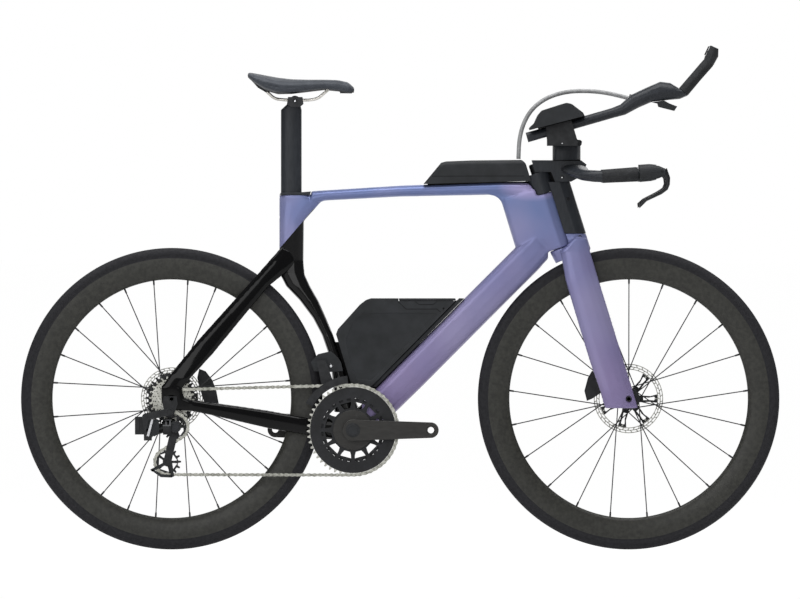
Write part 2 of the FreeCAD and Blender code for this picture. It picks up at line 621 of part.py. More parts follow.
def pin_places():
    """One point for each chain pin, and the phase of each wheel's tooth gaps.

    The chain runs straight for a few links off each wheel, and moves sideways between them.
    """
    places, phases = [], {}
    done = 0.0
    for stretch in COURSE:
        count = stretch[-1]
        pin = math.ceil(done)
        while pin < done + count and pin < LINK_COUNT:
            ahead = pin - done
            if stretch[0] == "wrap":
                _, centre, teeth, sense, line, start, _ = stretch
                angle = start + sense * ahead * 2 * math.pi / teeth
                radius = pitch_radius(teeth)
                places.append(centre + V(math.cos(angle) * radius, line, math.sin(angle) * radius))
                phases[(round(centre.x), round(centre.z))] = angle
            else:
                _, begin, finish, line, after, _ = stretch
                steady = min(d.steady_links, count / 3)
                drift = min(max((ahead - steady) / (count - 2 * steady), 0), 1)
                sideways = V(0, line + (after - line) * drift, 0)
                places.append(begin + (finish - begin) * (ahead / count) + sideways)
            pin += 1
        done += count
    return places, phases


PINS, PHASES = pin_places()


def phase_of(centre):
    return PHASES[(round(centre.x), round(centre.z))]


def link_plate(start, end, inner, outer):
    """A six-sided side plate between two pins, at the given distances from the chain's middle."""
    along = (end - start).normalize()
    across_chain = along.cross(Y_AXIS).normalize()
    sideways = across_chain.cross(along)
    half = d.plate_height / 2
    tip = half + d.roller_radius / 2 - d.plate_gap
    level = sideways * inner
    corners = [
        start - along * tip * NOSE_SHARE, start + across_chain * half, end + across_chain * half,
        end + along * tip * NOSE_SHARE, end - across_chain * half, start - across_chain * half,
    ]
    corners = [corner + level for corner in corners]
    return Part.Face(Part.makePolygon(corners + corners[:1])).extrude(sideways * (outer - inner))


NOSE_SHARE = 0.75
ROLLER_SIDES = 6


def roller(place, ahead):
    """A six-sided roller that stays inside the true round one."""
    along = (ahead - place).normalize()
    up = along.cross(Y_AXIS).normalize()
    half = d.roller_width / 2
    corners = []
    for side in range(ROLLER_SIDES):
        turn = 2 * math.pi * side / ROLLER_SIDES
        reach = (along * math.cos(turn) + up * math.sin(turn)) * d.roller_radius
        corners.append(place + reach - V(0, half, 0))
    return Part.Face(Part.makePolygon(corners + corners[:1])).extrude(V(0, d.roller_width, 0))


def chain():
    solids = []
    inner = d.roller_width / 2
    middle = inner + d.chain_plate
    outer = middle + d.plate_gap
    for number, place in enumerate(PINS):
        ahead = PINS[(number + 1) % len(PINS)]
        low, high = (inner, middle) if number % 2 else (outer, outer + d.chain_plate)
        solids += [link_plate(place, ahead, low, high), link_plate(place, ahead, -low, -high)]
        solids.append(roller(place, ahead))
    return solids


add("chain", *chain())


def toothed(centre, teeth, y, thickness, phase):
    """A sprocket plate whose gaps sit on the phase angle."""
    radius = pitch_radius(teeth)
    root, tip = radius - d.tooth_root, radius + d.tooth_height
    half_root = d.tooth_root_width / 2
    half_gap = (d.chain_pitch - d.tooth_tip_width) / 2
    corners = []
    for tooth in range(int(teeth)):
        turn = phase + 2 * math.pi * tooth / teeth
        out, side = V(math.cos(turn), 0, math.sin(turn)), V(-math.sin(turn), 0, math.cos(turn))
        for reach, sideways in ((tip, -half_gap), (root, -half_root), (root, half_root), (tip, half_gap)):
            corners.append(centre + out * reach + side * sideways + V(0, y - thickness / 2, 0))
    return Part.Face(Part.makePolygon(corners + corners[:1])).extrude(V(0, thickness, 0))


SLEEVE_SIDES = 16


def cassette():
    """Twelve sprockets on a splined sleeve."""
    cogs = []
    for number, teeth in enumerate(COG_TEETH):
        y = -d.cog_line + number * d.cog_spacing
        cogs.append(toothed(REAR_AXLE, teeth, y, d.cog_thickness, phase_of(REAR_AXLE)))
    first = -d.cog_line - d.cog_thickness
    last = -d.cog_line + (d.cogs - 1) * d.cog_spacing + d.cog_thickness
    turns = [2 * math.pi * side / SLEEVE_SIDES for side in range(SLEEVE_SIDES)]
    sleeve = [REAR_AXLE + V(math.cos(turn), 0, math.sin(turn)) * d.sleeve_radius for turn in turns]
    body = joined(plate(sleeve, first, last), *cogs)
    return body.cut(across(REAR_AXLE, first - d.overrun, last + d.overrun, d.sleeve_bore))


add("cassette", cassette())

# Crankset

BIG_RING_Y = -d.chainline
SMALL_RING_Y = d.ring_spacing - d.chainline


def around(centre, circle, count, y_from, y_to, radius):
    """Cylinders spaced round a circle in the side view."""
    made = []
    for number in range(int(count)):
        turn = 2 * math.pi * number / count
        middle = centre + V(math.cos(turn) * circle, 0, math.sin(turn) * circle)
        made.append(across(middle, y_from, y_to, radius))
    return made


def windows(centre, count, foot, top, foot_share, top_share, y_from, y_to):
    """Six-cornered openings between two radii; the shares are of the angle that each one has."""
    made = []
    step = 2 * math.pi / count
    middle, bulge = (foot + top) / 2, (foot_share + top_share) * WINDOW_BULGE_SHARE
    for number in range(int(count)):
        turn = step * (number + WINDOW_START_SHARE)
        sides = [(foot, foot_share), (middle, bulge), (top, top_share)]
        corners = [(r, turn - step * share / 2) for r, share in sides]
        corners += [(r, turn + step * share / 2) for r, share in reversed(sides)]
        points = [centre + V(math.cos(a) * r, 0, math.sin(a) * r) for r, a in corners]
        made.append(plate(points, y_from, y_to))
    return made


WINDOW_BULGE_SHARE, WINDOW_START_SHARE = 0.55, 0.5


def chainrings():
    """Two toothed plates: the big one is pierced by a row of windows and a row of slits."""
    half = d.ring_thickness / 2
    low, high = BIG_RING_Y - d.overrun, SMALL_RING_Y + d.overrun
    big = toothed(BB, d.big_ring_teeth, BIG_RING_Y, d.ring_thickness, phase_of(BB))
    openings = windows(BB, d.windows, d.window_foot, d.window_top, 0.5, 0.75, low, high)
    openings += windows(BB, d.windows * 2, d.slit_foot, d.slit_top, 0.45, 0.5, low, high)
    big = big.cut(Part.makeCompound(openings + [across(BB, low, high, d.big_ring_bore)]))
    small = toothed(BB, d.small_ring_teeth, SMALL_RING_Y, d.ring_thickness, phase_of(BB))
    small = small.cut(across(BB, low, high, d.small_ring_bore))
    pins = around(BB, d.ring_pin_circle, d.ring_pins, BIG_RING_Y + half, SMALL_RING_Y - half,
                  d.ring_pin_radius)
    return joined(big, small, *pins)


def crank_arm(side, direction):
    """One arm with its pedal eye, and the hub boss that reaches in to the spindle."""
    eye = BB + V(direction * d.crank_length, 0, 0)
    outer, inner = side * d.crank_outer, side * (d.crank_outer - d.crank_thickness)
    arm = capsule(BB, d.crank_hub_radius, eye, d.crank_end_radius, inner, outer)
    spot = across(eye, outer, outer - side * d.spot_face_depth, d.spot_face_radius)
    return arm.cut(Part.makeCompound([spot, across(eye, inner, outer, d.pedal_thread_radius)]))


RING_FACE = BIG_RING_Y - d.ring_thickness / 2
ARM_INNER = d.crank_outer - d.crank_thickness
LEFT_BOSS = d.bb_half_length + d.bb_cup_flange + d.clearance


def crank_right():
    """Drive-side arm, the disc that carries the chainrings, and the spindle."""
    spindle = across(BB, -ARM_INNER, ARM_INNER, d.spindle_radius)
    disc = across(BB, RING_FACE, RING_FACE - d.spider_thickness, d.spider_radius)
    boss = across(BB, RING_FACE - d.spider_thickness, -ARM_INNER, d.crank_hub_radius)
    return crank_arm(-1, 1), joined(disc, boss).cut(spindle), spindle


def crank_left():
    """Far-side arm and the boss between it and the bottom bracket."""
    boss = across(BB, LEFT_BOSS, ARM_INNER, d.crank_hub_radius)
    return crank_arm(1, -1), boss.cut(across(BB, LEFT_BOSS, ARM_INNER, d.spindle_radius + d.fit))


add("chainrings", chainrings())
add("crank_right", *crank_right())
add("crank_left", *crank_left())

# Fork and steering column

LEG_PX = [
    (238, 587, 573), (252, 590.5, 560.5), (280, 599, 565), (330, 614.5, 580), (363, 624.7, 590),
    (392, 633.6, 600), (408, 638.2, 604.5),
]
LEG_SPREAD_SHARES = [0.4, 0.53, 0.64, 0.78, 0.88, 0.985, 1]
LEG_WIDTH_SHARES = [1.7, 1.6, 1.4, 1.2, 1.1, 1, 1]
CROWN_SPLIT_PX, STEM_SPLIT_PX = 233.4, 181.9
LEG_HALF = d.dropout_thickness
LEG_Y = d.front_spacing / 2 + LEG_HALF
CROWN_TOP = d.head_bottom - d.crown_gap


def steer_prism(low, high, rear):
    """The streamlined column in front of the head tube, between two heights on the steering axis."""
    half = d.front_steerer_half
    wires = [section(steer(d.front_steerer_reach, h), steer(rear, h), half, half, half, half / 2)
             for h in (low, high)]
    return Part.makeLoft(wires, True, True)


def level_slab(py_low, py_high):
    """All space between two heights of the side view."""
    low, high = at(0, py_low).z, at(0, py_high).z
    reach = d.tyre_radius * 2
    return Part.makeBox(reach, reach, high - low, V(0, -reach / 2, low))


def fork():
    rows = [
        (at(front, py, LEG_Y * spread), at(rear, py, LEG_Y * spread), LEG_HALF * share)
        for (py, front, rear), spread, share in zip(LEG_PX, LEG_SPREAD_SHARES, LEG_WIDTH_SHARES)
    ]
    crown_foot = CROWN_TOP - d.crown_depth
    column = steer_prism(crown_foot, CROWN_TOP + d.crown_depth, 0)
    column = column.common(level_slab(AXLE_HEIGHT_PX, CROWN_SPLIT_PX))
    column = column.cut(rod(steer(0, CROWN_TOP), steer(0, d.head_top), d.head_radius + d.crown_gap))
    crown = Part.makeCone(d.bearing_radius, d.crown_radius, d.crown_depth, steer(0, crown_foot), STEER_UP)
    steerer = rod(steer(0, crown_foot), steer(0, d.steerer_top), d.steerer_radius)
    body = joined(crown, column, steerer)
    wheel_room = across(FRONT_AXLE, -d.wheel_slot_half, d.wheel_slot_half, d.tyre_radius + d.wheel_gap)
    axle_room = across(FRONT_AXLE, -d.front_spacing, d.front_spacing, d.axle_radius + d.fit)
    head_room = rod(steer(0, CROWN_TOP), steer(0, d.head_top), d.head_radius + d.crown_gap)
    head_room = head_room.cut(rod(steer(0, CROWN_TOP), steer(0, d.head_top), d.steerer_radius, d.overrun))
    rooms = Part.makeCompound([wheel_room, axle_room])
    crown_piece = body.cut(rooms).cut(head_room)
    legs = [leg.cut(body).cut(rooms).cut(head_room) for leg in both_sides(tube(rows, 0.4, 0.3))]
    return [crown_piece] + legs


def front_steerer():
    column = steer_prism(d.head_bottom - d.crown_depth, d.steerer_top, 0)
    column = column.common(level_slab(CROWN_SPLIT_PX, STEM_SPLIT_PX))
    return column.cut(rod(steer(0, 0), steer(0, d.steerer_top * 2), d.head_radius + d.crown_gap))


COVER_FOOT = d.head_top + d.crown_gap
COVER_TOP = COVER_FOOT + d.cover_height

add("fork", *fork())
add("front_steerer", front_steerer())
add_cut("headset_cover",
        add_cylinder("cover_skin", steer(0, COVER_FOOT), STEER_UP, "sizes.cover_radius", "sizes.cover_height"),
        add_cylinder("cover_bore", steer(0, COVER_FOOT), STEER_UP, "sizes.steerer_radius + sizes.fit",
                     "sizes.cover_height"))

STEM_PX = [(531.5, 160.2), (581, 160.2), (586.5, 164.5), (582, 175), (577, 178.5), (571, 181.7), (555, 181.7),
           (551, 172), (535, 172)]
WING_PX = [(574, 169.5), (575, 170), (579, 173), (585, 175.3), (592.5, 176), (601, 176.4), (638, 174.2)]
WING_SPREAD_SHARES = [0, 0.3, 0.66, 0.87, 0.965, 1, 1]
WING_HEADINGS = [-90, -90, -82, -55, -22, 0, 0]
WING_CHORD_SHARES = [2.4, 2.3, 2.0, 1.55, 1.15, 1, 1]
WING_DEPTH_SHARES = [0.95, 0.9, 0.82, 0.95, 1, 1, 1]
WING_ROUND_SHARE = 0.97


def wing_section(side, pixel, spread, heading, chord_share, depth_share):
    """One section of the base bar; it turns from across the bike to along it."""
    centre = at(*pixel, side * d.bar_half_width * spread)
    turn = math.radians(heading)
    sideways = V(-math.sin(turn), -side * math.cos(turn), 0)
    half_chord, half_depth = d.bar_tube_radius * chord_share, d.bar_tube_radius * depth_share
    round_off = half_chord * WING_ROUND_SHARE
    return section(centre + sideways * half_chord, centre - sideways * half_chord, half_depth, half_depth,
                   round_off, round_off, V(0, 0, 1))


def stem_block():
    block = plate(outline(STEM_PX), -d.stem_half, d.stem_half)
    behind = Part.makeBox(d.stem_half * 2, d.stem_half * 4, d.steerer_top,
                          V(-d.stem_half * 2, -d.stem_half * 2, 0))
    behind.Placement = FreeCAD.Placement(STEER_FOOT, FreeCAD.Rotation(STEER_FORWARD, Y_AXIS, STEER_UP, "ZXY"))
    behind = behind.cut(rod(steer(0, 0), steer(0, d.steerer_top * 2), d.stem_rear_radius))
    cover_room = rod(steer(0, COVER_FOOT), steer(0, COVER_TOP + d.fit), d.cover_radius + d.fit)
    bore = rod(steer(0, COVER_FOOT), steer(0, d.steerer_top + d.fit), d.steerer_radius + d.fit)
    return block.cut(Part.makeCompound([behind, cover_room])).cut(bore)


GRIP_REAR, GRIP_FRONT = (at(*pixel, -d.bar_half_width) for pixel in WING_PX[-2:])


def base_bar():
    rows = list(zip(WING_PX, WING_SPREAD_SHARES, WING_HEADINGS, WING_CHORD_SHARES, WING_DEPTH_SHARES))
    wires = [wing_section(-1, *row) for row in reversed(rows)] + [wing_section(1, *row) for row in rows[1:]]
    socket = rod(GRIP_FRONT - (GRIP_FRONT - GRIP_REAR).normalize() * (d.plug_length + d.clearance),
                 GRIP_FRONT + (GRIP_FRONT - GRIP_REAR).normalize() * d.overrun, d.bar_bore_radius)
    body = joined(stem_block(), Part.makeLoft(wires, True, True))
    cover_room = rod(steer(0, COVER_FOOT), steer(0, COVER_TOP + d.fit), d.cover_radius + d.fit)
    return body.cut(Part.makeCompound(both_sides(socket) + [cover_room]))


def bar_grip():
    along = GRIP_FRONT - GRIP_REAR
    start = GRIP_REAR + V(along).normalize() * d.grip_inset
    sleeve_length = along.Length - 2 * d.grip_inset
    sleeve = Part.makeCone(d.grip_rear_radius, d.grip_front_radius, sleeve_length, start, along)
    return sleeve.cut(rod(GRIP_REAR, GRIP_FRONT, d.bar_tube_radius + d.fit, d.overrun))


HOOD_PX = [(639, 164.8, 182), (650, 164, 181), (658, 165, 179), (664.5, 168, 176)]
HOOD_WIDTH_SHARES = [1.2, 1.15, 1, 0.8]
LEVER_PIVOT_PX = (661.5, 171.5)
LEVER_SLOT_PX = [(655.5, 160), (670, 160), (670, 186), (655.5, 186)]
LEVER_PX = [
    ((666, 168), (659.5, 172.5)), ((669.3, 177.5), (664, 178.8)), ((669, 184.5), (664.6, 184)),
    ((666.9, 189.6), (662.9, 188)), ((661, 194), (657.3, 191.6)), ((646, 201), (643.2, 198.9)),
    ((638.6, 208.3), (638, 203.6)),
]
LEVER_WIDTH_SHARES = [1, 1, 1.1, 1.2, 1.4, 1.4, 1.2]
LEVER_EYE_SHARE = 1.05


def lever_body():
    y = -d.bar_half_width
    rows = [(at(px, upper, y), at(px, lower, y), d.bar_tube_radius * share)
            for (px, upper, lower), share in zip(HOOD_PX, HOOD_WIDTH_SHARES)]
    along = (GRIP_FRONT - GRIP_REAR).normalize()
    plug = rod(GRIP_FRONT - along * d.plug_length, GRIP_FRONT + along * d.plug_length / 2, d.plug_radius)
    hood = joined(tube(rows, 0.45, 0.45), plug)
    slot = plate(outline(LEVER_SLOT_PX), y - d.lever_slot_half, y + d.lever_slot_half)
    pin = across(at(*LEVER_PIVOT_PX), y - d.bar_tube_radius / 2, y + d.bar_tube_radius / 2, d.lever_pin_radius)
    return joined(hood.cut(slot), pin)


def brake_lever():
    y = -d.bar_half_width
    rows = [(at(*outer, y), at(*inner, y), d.lever_half * share)
            for (outer, inner), share in zip(LEVER_PX, LEVER_WIDTH_SHARES)]
    pivot = at(*LEVER_PIVOT_PX)
    eye = across(pivot, y - d.lever_half, y + d.lever_half, d.lever_half * LEVER_EYE_SHARE)
    hole = across(pivot, y - d.bar_tube_radius, y + d.bar_tube_radius, d.lever_pin_radius + d.fit)
    return joined(tube(rows, 0.45, 0.45), eye).cut(hole)


add("base_bar", base_bar())
add("lever_bodies", *both_sides(lever_body()))
LEVERS = both_sides(brake_lever())
add("brake_lever_right", LEVERS[0])
add("brake_lever_left", LEVERS[1])

RISER_PX = [(552.5, 146), (580.5, 160.1)]
RISER_SPLIT_PX = 153
BRIDGE_PX = [(547, 139.5), (577.5, 139.5), (577.5, 145.9), (547, 145.9)]
CLAMP_PX = [(545.5, 126.3), (571, 119.6), (577, 139.5), (547, 139.5)]
EXTENSION_PX = [(527, 137.5), (613, 112.8)]
HAND_PX = [
    ((620.5, 104.5), (625, 114.8)), ((631, 95), (638.5, 107.6)),
    ((646, 87.8), (652, 101.8)), ((660, 81.8), (668, 100)), ((670, 83), (679.5, 99)),
    ((679, 88.4), (687.5, 95.6)),
]
HAND_WIDTH_SHARES = [1.2, 1.55, 1.75, 1.7, 1.5, 1.3]
UPRIGHT_PX = [((679.2, 88.1), (687.7, 95.3)), ((692, 73.2), (700.5, 80)), ((704, 59.3), (713, 65.8))]
UPRIGHT_WIDTH_SHARES = [1.3, 1.35, 1.25]
POD_PX = [((704.2, 59), (713.2, 65.4)), ((707, 51), (718, 56.5)), ((710.5, 45.5), (718.2, 49))]
POD_WIDTH_SHARES = [1.2, 1.1, 0.8]
BUTTON_PX = [((705.3, 55.3), (709.3, 46.6))]
CUP_PX = [(529, 128.3), (534, 124), (538, 115.5), (542, 110.8), (560, 105), (566, 103.2), (571, 104.2),
          (583, 113.2), (584.3, 115.8), (529.6, 130.2)]
CUP_FLOOR_PX = [(529.6, 130.2), (584.3, 115.8)]


def riser(py_low, py_high):
    (rear, _), (front, _) = RISER_PX
    half = d.riser_half
    wires = [section(at(front, py), at(rear, py), half, half, half / 2, half / 3)
             for py in (py_low, py_high)]
    return Part.makeLoft(wires, True, True)


def row_hull(pixels, shares, width, y):
    rows = [(at(*lower, y), at(*upper, y), width * share) for (upper, lower), share in zip(pixels, shares)]
    return tube(rows, ROUND_SHARE, ROUND_SHARE)


def extension():
    y = -d.extension_half_spacing
    rear, front = (at(*p, y) for p in EXTENSION_PX)
    lift = (front - rear).normalize().cross(Y_AXIS) * d.extension_radius
    straight = [(end - lift, end + lift, d.extension_radius) for end in (rear, front)]
    hand = [(at(*lower, y), at(*upper, y), d.extension_radius * share)
            for (upper, lower), share in zip(HAND_PX, HAND_WIDTH_SHARES)]
    return tube(straight + hand, ROUND_SHARE, ROUND_SHARE)


def extension_clamp():
    """A bridge across the riser with a clamp block at each extension."""
    y = -d.extension_half_spacing
    reach = d.extension_half_spacing + d.clamp_half
    bridge = plate(outline(BRIDGE_PX), -reach, reach)
    block = plate(outline(CLAMP_PX), y - d.clamp_half, y + d.clamp_half)
    bore = rod(at(*EXTENSION_PX[0], y), at(*EXTENSION_PX[1], y), d.extension_radius + d.clearance)
    return joined(bridge, *both_sides(block)).cut(Part.makeCompound(both_sides(bore)))


def cup_trough(radius):
    rear, front = (at(*p, -d.cup_centre) for p in CUP_FLOOR_PX)
    along = (front - rear).normalize()
    lift = along.cross(Y_AXIS).normalize() * (d.cup_trough_radius + d.cup_floor)
    return rod(rear + lift, front + lift, radius, d.cup_trough_radius)


def cup_block():
    return plate(outline(CUP_PX), -d.cup_centre - d.cup_half, d.cup_half - d.cup_centre)


def arm_cup():
    return cup_block().cut(cup_trough(d.cup_trough_radius))


def arm_pad():
    liner = cup_trough(d.cup_trough_radius - d.clearance).cut(cup_trough(d.cup_trough_radius - d.pad_thickness))
    return cup_block().common(liner)


def shift_button():
    """A thumb button on the rear face of the shifter pod; it stands proud by its height."""
    y = -d.extension_half_spacing
    (low, high), = BUTTON_PX
    start, end = at(*low, y), at(*high, y)
    along = (end - start).normalize()
    inward = Y_AXIS.cross(along).normalize()
    wire = section(end, start, d.button_half, d.button_half, d.button_half, d.button_half)
    return Part.Face(wire).extrude(inward * -d.button_height), inward


BUTTON, BUTTON_INWARD = shift_button()


def button_pocket():
    """The room for the button with its travel, wider than it all round."""
    y = -d.extension_half_spacing
    (low, high), = BUTTON_PX
    start, end = at(*low, y), at(*high, y)
    along = (end - start).normalize() * d.clearance
    half = d.button_half + d.clearance
    wire = section(end + along, start - along, half, half, half, half)
    face = Part.Face(wire).translated(BUTTON_INWARD * -d.button_height * 2)
    return face.extrude(BUTTON_INWARD * d.button_height * 3)


def shifter_pod():
    pod = row_hull(POD_PX, POD_WIDTH_SHARES, d.extension_radius, -d.extension_half_spacing)
    return pod.cut(button_pocket())


add("risers", riser(RISER_PX[1][1], RISER_SPLIT_PX), riser(RISER_SPLIT_PX, RISER_PX[0][1]))
add("extension_clamp", extension_clamp())
add("extensions", *both_sides(extension()))
UPRIGHT = row_hull(UPRIGHT_PX, UPRIGHT_WIDTH_SHARES, d.extension_radius, -d.extension_half_spacing)
add("grips", *both_sides(bar_grip()), *both_sides(UPRIGHT))
add("shifter_pods", *both_sides(shifter_pod()))
BUTTONS = both_sides(BUTTON)
add("shift_button_right", BUTTONS[0])
add("shift_button_left", BUTTONS[1])
add("arm_cups", *both_sides(arm_cup()))
add("arm_pads", *both_sides(arm_pad()))

# Seat

POST_HEAD_PX = (295, 101)
POST_TOP_PX = 110
NECK_SHARE = 0.85
CLAMP_EAR_PX = [(288, 97), (302.5, 97), (303.5, 104), (300, 107), (291, 107), (287, 104)]
SADDLE_PX = [
    (248, 72.7, 77.5), (256, 73.9, 85), (266, 75.8, 91), (278, 78, 94.3), (292, 79.6, 94), (308, 80, 92),
    (324, 80, 90.2), (338, 80.4, 91.5), (348, 82.6, 93.4), (354, 88, 92.6),
]
SADDLE_HALF_SHARES = [0.62, 0.86, 1, 0.94, 0.72, 0.52, 0.4, 0.35, 0.32, 0.2]
SADDLE_COVER_SHARE, SADDLE_SHELL_SHARE, SADDLE_SPLIT_SHARE = 0.62, 0.9, 0.02
SADDLE_HALF_PX = 30
RAIL_PX = [(263.5, 88.5), (274.5, 98.8), (284, 99.9), (309.5, 100.2), (318, 98.6), (328.5, 89.5)]


def seatpost():
    foot = SEAT_TOP - d.post_insert
    head = at(*POST_HEAD_PX)
    barrel = across(head, -d.barrel_half, d.barrel_half, d.barrel_radius)
    top = at(0, POST_TOP_PX).z
    neck = V(d.barrel_radius * NECK_SHARE, 0, 0)
    chord = 2 * neck.x
    neck_wire = section(head + neck, head - neck, d.post_half, d.post_half,
                        chord * POST_NOSE_SHARE, chord * POST_TAIL_SHARE)
    shaft = Part.makeLoft([post_section(foot), post_section(top), neck_wire], True, True)
    body = joined(shaft, barrel)
    return body.cut(across(head, -d.barrel_half, d.barrel_half, d.clamp_bolt_radius + d.fit))


def rail_route():
    return [at(px, py, -d.rail_half_spacing) for px, py in RAIL_PX]


def saddle_clamp():
    """Two ears that grip the rails, drawn together by a bolt through the post's barrel."""
    inner = d.barrel_half + d.clearance
    ears = both_sides(plate(outline(CLAMP_EAR_PX), -inner - d.clamp_ear, -inner))
    bolt = across(at(*POST_HEAD_PX), -inner, inner, d.clamp_bolt_radius)
    grooves = both_sides(bent_tube(rail_route(), d.rail_radius + d.fit)[0])
    return joined(*ears, bolt).cut(Part.makeCompound(grooves))


def saddle_rows(upper_share, lower_share, width_share):
    half = SADDLE_HALF_PX * SCALE * width_share
    rows = []
    for (px, top, bottom), share in zip(SADDLE_PX, SADDLE_HALF_SHARES):
        drop = bottom - top
        rows.append((at(px, top + drop * upper_share), at(px, top + drop * lower_share), half * share))
    return rows


add("seatpost", seatpost())
add("saddle_clamp", saddle_clamp())
add("saddle_rails", *both_sides(bent_tube(rail_route(), d.rail_radius)[0]))
add("saddle_cover", tube(saddle_rows(0, SADDLE_COVER_SHARE, 1), 0.7, 0.2))
SHELL_ROWS = saddle_rows(SADDLE_COVER_SHARE + SADDLE_SPLIT_SHARE, 1, SADDLE_SHELL_SHARE)
add("saddle_shell", tube(SHELL_ROWS, 0.15, 0.6))

# Boxes

TOP_BOX_PX = [(423.5, 184), (441, 162.8), (446, 161.4), (471, 160.4), (525.5, 159.8), (534, 180.9)]
BOX_PX = [(336, 334), (338, 329), (360, 304.5), (366, 300), (371, 298.3), (458, 298.3), (371.5, 386.6),
          (351.5, 385.5), (343.2, 358)]
BOX_ROOM_PX = [(401, 298), (447, 298), (433, 314), (404, 314)]
BOX_DEPTH_PX = [(398, 312), (434, 312), (370, 378), (356, 376), (344.5, 338), (364, 314)]
LID_PX = [(399, 298.3), (454.6, 298.3), (454.6, 300.5), (399, 300.5)]
LID_HINGE_PX, LID_BARREL_PX = (454.6, 299.4), 1.1
LID_SEAT_PX = [(398.5, 295), (470, 295), (454.5, 300.9), (398.5, 300.9)]
PANEL_PX = [(352, 323), (362, 313), (437, 313), (371.5, 380.5), (357, 379), (350, 362), (346, 340)]
CRADLE_PX = [(459.2, 298.2), (464.2, 298.4), (376.5, 386.8), (371.4, 387.2)]


def top_box():
    block = plate(outline(TOP_BOX_PX), -d.top_box_half, d.top_box_half)
    edges = [e for e in block.Edges if abs(e.Vertexes[0].Y - e.Vertexes[-1].Y) < d.fit
             and min(v.Z for v in e.Vertexes) > at(0, (TOP_BOX_PX[0][1] + TOP_BOX_PX[1][1]) / 2).z]
    block = block.makeFillet(d.top_box_half / 2, edges)
    return block.cut(rod(steer(0, 0), steer(0, d.steerer_top * 2), d.steer_clear_radius))


def storage_box():
    block = plate(outline(BOX_PX), -d.box_half, d.box_half)
    inner = d.box_half - d.box_wall
    rooms = [plate(outline(pixels), -inner, inner) for pixels in (BOX_ROOM_PX, BOX_DEPTH_PX)]
    seat = plate(outline(LID_SEAT_PX), -d.box_half, d.box_half)
    panels = both_sides(plate(outline(PANEL_PX), -d.box_half, d.panel_depth - d.box_half))
    return block.cut(joined(*rooms)).cut(Part.makeCompound([seat] + panels))


add("top_box", top_box())
add("storage_box", storage_box())
LID_BARREL = across(at(*LID_HINGE_PX), -d.box_half, d.box_half, LID_BARREL_PX * SCALE)
add("storage_lid", joined(plate(outline(LID_PX), -d.box_half, d.box_half), LID_BARREL))
add("box_cradle", plate(outline(CRADLE_PX), -d.cradle_half, d.cradle_half))

# Axles, brakes

FRONT_CALIPER_PX = [
    (592, 371), (588, 378), (584.5, 391), (587, 401), (592, 399), (601, 393), (603, 383), (598, 373),
]
REAR_CALIPER_PX = [(199, 369), (205.5, 371.5), (212, 380), (216, 390), (219, 406), (204.5, 404.2), (200, 390),
                   (197, 378)]


def caliper(points, rotor_y, axle, rotor_radius):
    body = plate(points, rotor_y - d.caliper_half, rotor_y + d.caliper_half * CALIPER_OUTER_SHARE)
    slot = across(axle, rotor_y - d.caliper_slot_half, rotor_y + d.caliper_slot_half,
                  rotor_radius + d.caliper_slot_half)
    return body.cut(slot)


CALIPER_OUTER_SHARE = 0.7

AXLE_LEFT = d.rear_spacing / 2 + d.dropout_thickness
HANGER_Y = -AXLE_LEFT - d.fit
HANGER_PX = [(164, 396), (177, 396), (178, 404), (173, 417), (166.5, 417), (163, 404)]
KNUCKLE_PX, ELBOW_PX = (169.8, 411.5), (146, 416.5)


def hanger():
    body = plate(set_out(REAR_AXLE, REAR_AXLE_PX, HANGER_PX), HANGER_Y, HANGER_Y - d.hanger_thickness)
    return body.cut(across(REAR_AXLE, HANGER_Y, HANGER_Y - d.hanger_thickness, d.axle_radius + d.fit))


def add_thru_axle(label, axle, y_from, y_to, length):
    """A hollow axle with a flat head on the left; its length is an expression on the sheet."""
    start, head_start = V(axle.x, y_from, axle.z), V(axle.x, y_to, axle.z)
    body = doc.addObject("Part::Fuse", f"{label}_body")
    body.Base = add_cylinder(f"{label}_shaft", start, Y_AXIS, "sizes.axle_radius", length)
    body.Tool = add_cylinder(f"{label}_head", head_start, Y_AXIS, "sizes.axle_head_radius",
                             "sizes.axle_head_length")
    bore = add_cylinder(f"{label}_bore", start, Y_AXIS, "sizes.axle_bore_radius",
                        f"{length} + sizes.axle_head_length")
    return add_cut(label, body, bore)


FRONT_AXLE_HALF = LEG_Y + LEG_HALF
add_thru_axle("front_axle", FRONT_AXLE, -FRONT_AXLE_HALF, FRONT_AXLE_HALF + d.fit,
              "sizes.front_spacing + 4 * sizes.dropout_thickness + sizes.fit")
add_thru_axle("rear_axle", REAR_AXLE, HANGER_Y - d.hanger_thickness, AXLE_LEFT + d.fit,
              "sizes.rear_spacing + 2 * sizes.dropout_thickness + sizes.hanger_thickness + 2 * sizes.fit")
add("front_caliper", caliper(set_out(FRONT_AXLE, FRONT_AXLE_PX, FRONT_CALIPER_PX), FRONT_ROTOR_Y, FRONT_AXLE,
                             d.front_rotor_radius))
SEATED_CALIPER = caliper(set_out(REAR_AXLE, REAR_AXLE_PX, REAR_CALIPER_PX), REAR_ROTOR_Y, REAR_AXLE,
                         d.rear_rotor_radius).cut(REAR_STAYS)
add("rear_caliper", SEATED_CALIPER.translated(V(0, 0, d.fit)))
add("derailleur_hanger", hanger())

# Rear derailleur: two links between an upper and a lower knuckle, then the cage with its pulleys

